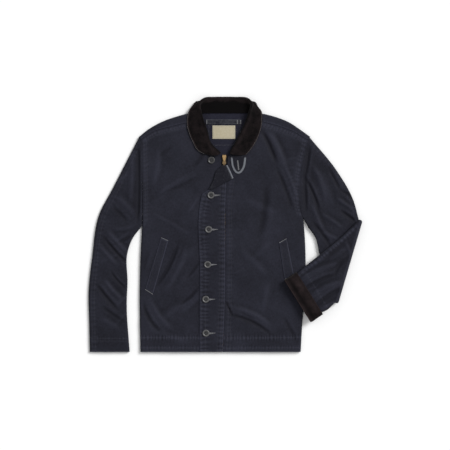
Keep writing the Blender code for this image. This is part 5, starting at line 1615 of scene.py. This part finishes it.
class JacketThread(bpy.types.PropertyGroup):
    """Sewing thread of the shell."""

    pitch: bpy.props.FloatProperty(
        name="Stitch pitch", description="Distance from one stitch to the next", default=0.0036, min=0.001,
        subtype="DISTANCE", unit="LENGTH",
    )
    radius: bpy.props.FloatProperty(
        name="Thread radius", description="Half of the thread's thickness", default=0.00042, min=0.0001,
        subtype="DISTANCE", unit="LENGTH",
    )
    dark: colour_property("Dark", "Shell thread in shade", (0.010, 0.010, 0.015))
    pale: colour_property("Pale", "Shell thread on top", (0.038, 0.039, 0.052))


class JacketStage(bpy.types.PropertyGroup):
    """Light and camera."""

    lens: bpy.props.FloatProperty(
        name="Lens", description="Focal length of the camera in millimetres", default=85.0, min=20.0
    )
    key_strength: bpy.props.FloatProperty(
        name="Key strength", description="Strength of the key light", default=2.7, min=0.0
    )
    key_azimuth: bpy.props.FloatProperty(
        name="Key azimuth", description="Way the key light comes from, counted from the hem",
        default=math.radians(126.0), subtype="ANGLE", unit="ROTATION",
    )
    key_elevation: bpy.props.FloatProperty(
        name="Key elevation", description="Height of the key light over the horizon",
        default=math.radians(38.0), subtype="ANGLE", unit="ROTATION",
    )
    key_spread: bpy.props.FloatProperty(
        name="Key spread", description="Angular size of the key light", default=math.radians(28.0),
        subtype="ANGLE", unit="ROTATION",
    )
    fill_strength: bpy.props.FloatProperty(
        name="Fill strength", description="Strength of the even fill light", default=0.56, min=0.0
    )


class JacketStep(bpy.types.Operator):
    """Common part of the jacket's operators."""

    bl_idname = "jacket.step"
    bl_label = "Jacket Step"
    bl_options = {"REGISTER", "UNDO"}
    makers = ()

    def execute(self, context):
        for make in self.makers:
            make()
        return {"FINISHED"}


class JACKET_OT_body(bpy.types.Operator):
    """Build the back, the fronts and the shoulder strips"""

    bl_idname = "jacket.body"
    bl_label = "Body"

    def execute(self, context):
        build_back()
        build_fronts()
        build_shoulders()
        return {"FINISHED"}


class JACKET_OT_sleeves(bpy.types.Operator):
    """Build both sleeves, the left one folded at the elbow"""

    bl_idname = "jacket.sleeves"
    bl_label = "Sleeves"

    def execute(self, context):
        build_right_sleeve()
        build_left_sleeve()
        return {"FINISHED"}


class JACKET_OT_corduroy(bpy.types.Operator):
    """Build the corduroy collar and the turned-back cuff"""

    bl_idname = "jacket.corduroy"
    bl_label = "Corduroy"

    def execute(self, context):
        build_collar()
        build_cuff()
        return {"FINISHED"}


class JACKET_OT_neck(bpy.types.Operator):
    """Build the neck lining, the hanger loop and the bare label"""

    bl_idname = "jacket.neck"
    bl_label = "Neck"

    def execute(self, context):
        build_neck()
        return {"FINISHED"}


class JACKET_OT_flap(bpy.types.Operator):
    """Build the storm flap, its turned-back corner, the throat tab and the pocket welts"""

    bl_idname = "jacket.flap"
    bl_label = "Flap and Welts"

    def execute(self, context):
        build_flap()
        build_tab()
        build_welts()
        return {"FINISHED"}


class JACKET_OT_fastenings(bpy.types.Operator):
    """Build the zip and the buttons"""

    bl_idname = "jacket.fastenings"
    bl_label = "Fastenings"

    def execute(self, context):
        build_zip()
        build_buttons()
        return {"FINISHED"}


class JACKET_OT_stitching(bpy.types.Operator):
    """Sew the rows of stitching, the buttonholes and the bar tacks"""

    bl_idname = "jacket.stitching"
    bl_label = "Stitching"

    def execute(self, context):
        build_stitching()
        return {"FINISHED"}


class JACKET_OT_stage(bpy.types.Operator):
    """Set the floor, the light and the camera"""

    bl_idname = "jacket.stage"
    bl_label = "Stage"

    def execute(self, context):
        build_stage()
        return {"FINISHED"}


OPERATORS = (
    JACKET_OT_body, JACKET_OT_sleeves, JACKET_OT_corduroy, JACKET_OT_neck, JACKET_OT_flap,
    JACKET_OT_fastenings, JACKET_OT_stitching, JACKET_OT_stage,
)
SETTINGS = (
    ("jacket_cloth", JacketCloth), ("jacket_cord", JacketCord), ("jacket_thread", JacketThread),
    ("jacket_stage", JacketStage),
)


class JACKET_PT_sidebar(bpy.types.Panel):
    """Settings and steps of the jacket"""

    bl_idname = "JACKET_PT_sidebar"
    bl_label = "Deck Jacket"
    bl_space_type = "VIEW_3D"
    bl_region_type = "UI"
    bl_category = "Deck Jacket"

    def draw(self, context):
        for name, group in SETTINGS:
            box = self.layout.box()
            box.label(text=group.__doc__)
            for key in group.__annotations__:
                box.prop(getattr(context.scene, name), key)
        for step in OPERATORS:
            self.layout.operator(step.bl_idname)


def register():
    """Registers the settings, the operators and the panel."""
    for name, group in SETTINGS:
        bpy.utils.register_class(group)
        setattr(bpy.types.Scene, name, bpy.props.PointerProperty(type=group))
    for item in (*OPERATORS, JACKET_PT_sidebar):
        bpy.utils.register_class(item)


def unregister():
    """Takes the panel, the operators and the settings away."""
    for item in (JACKET_PT_sidebar, *reversed(OPERATORS)):
        bpy.utils.unregister_class(item)
    for name, group in reversed(SETTINGS):
        delattr(bpy.types.Scene, name)
        bpy.utils.unregister_class(group)


def main():
    """Builds the whole jacket and its stage."""
    register()
    for step in OPERATORS:
        family, verb = step.bl_idname.split(".")
        getattr(getattr(bpy.ops, family), verb)()


if __name__ == "__main__":
    main()
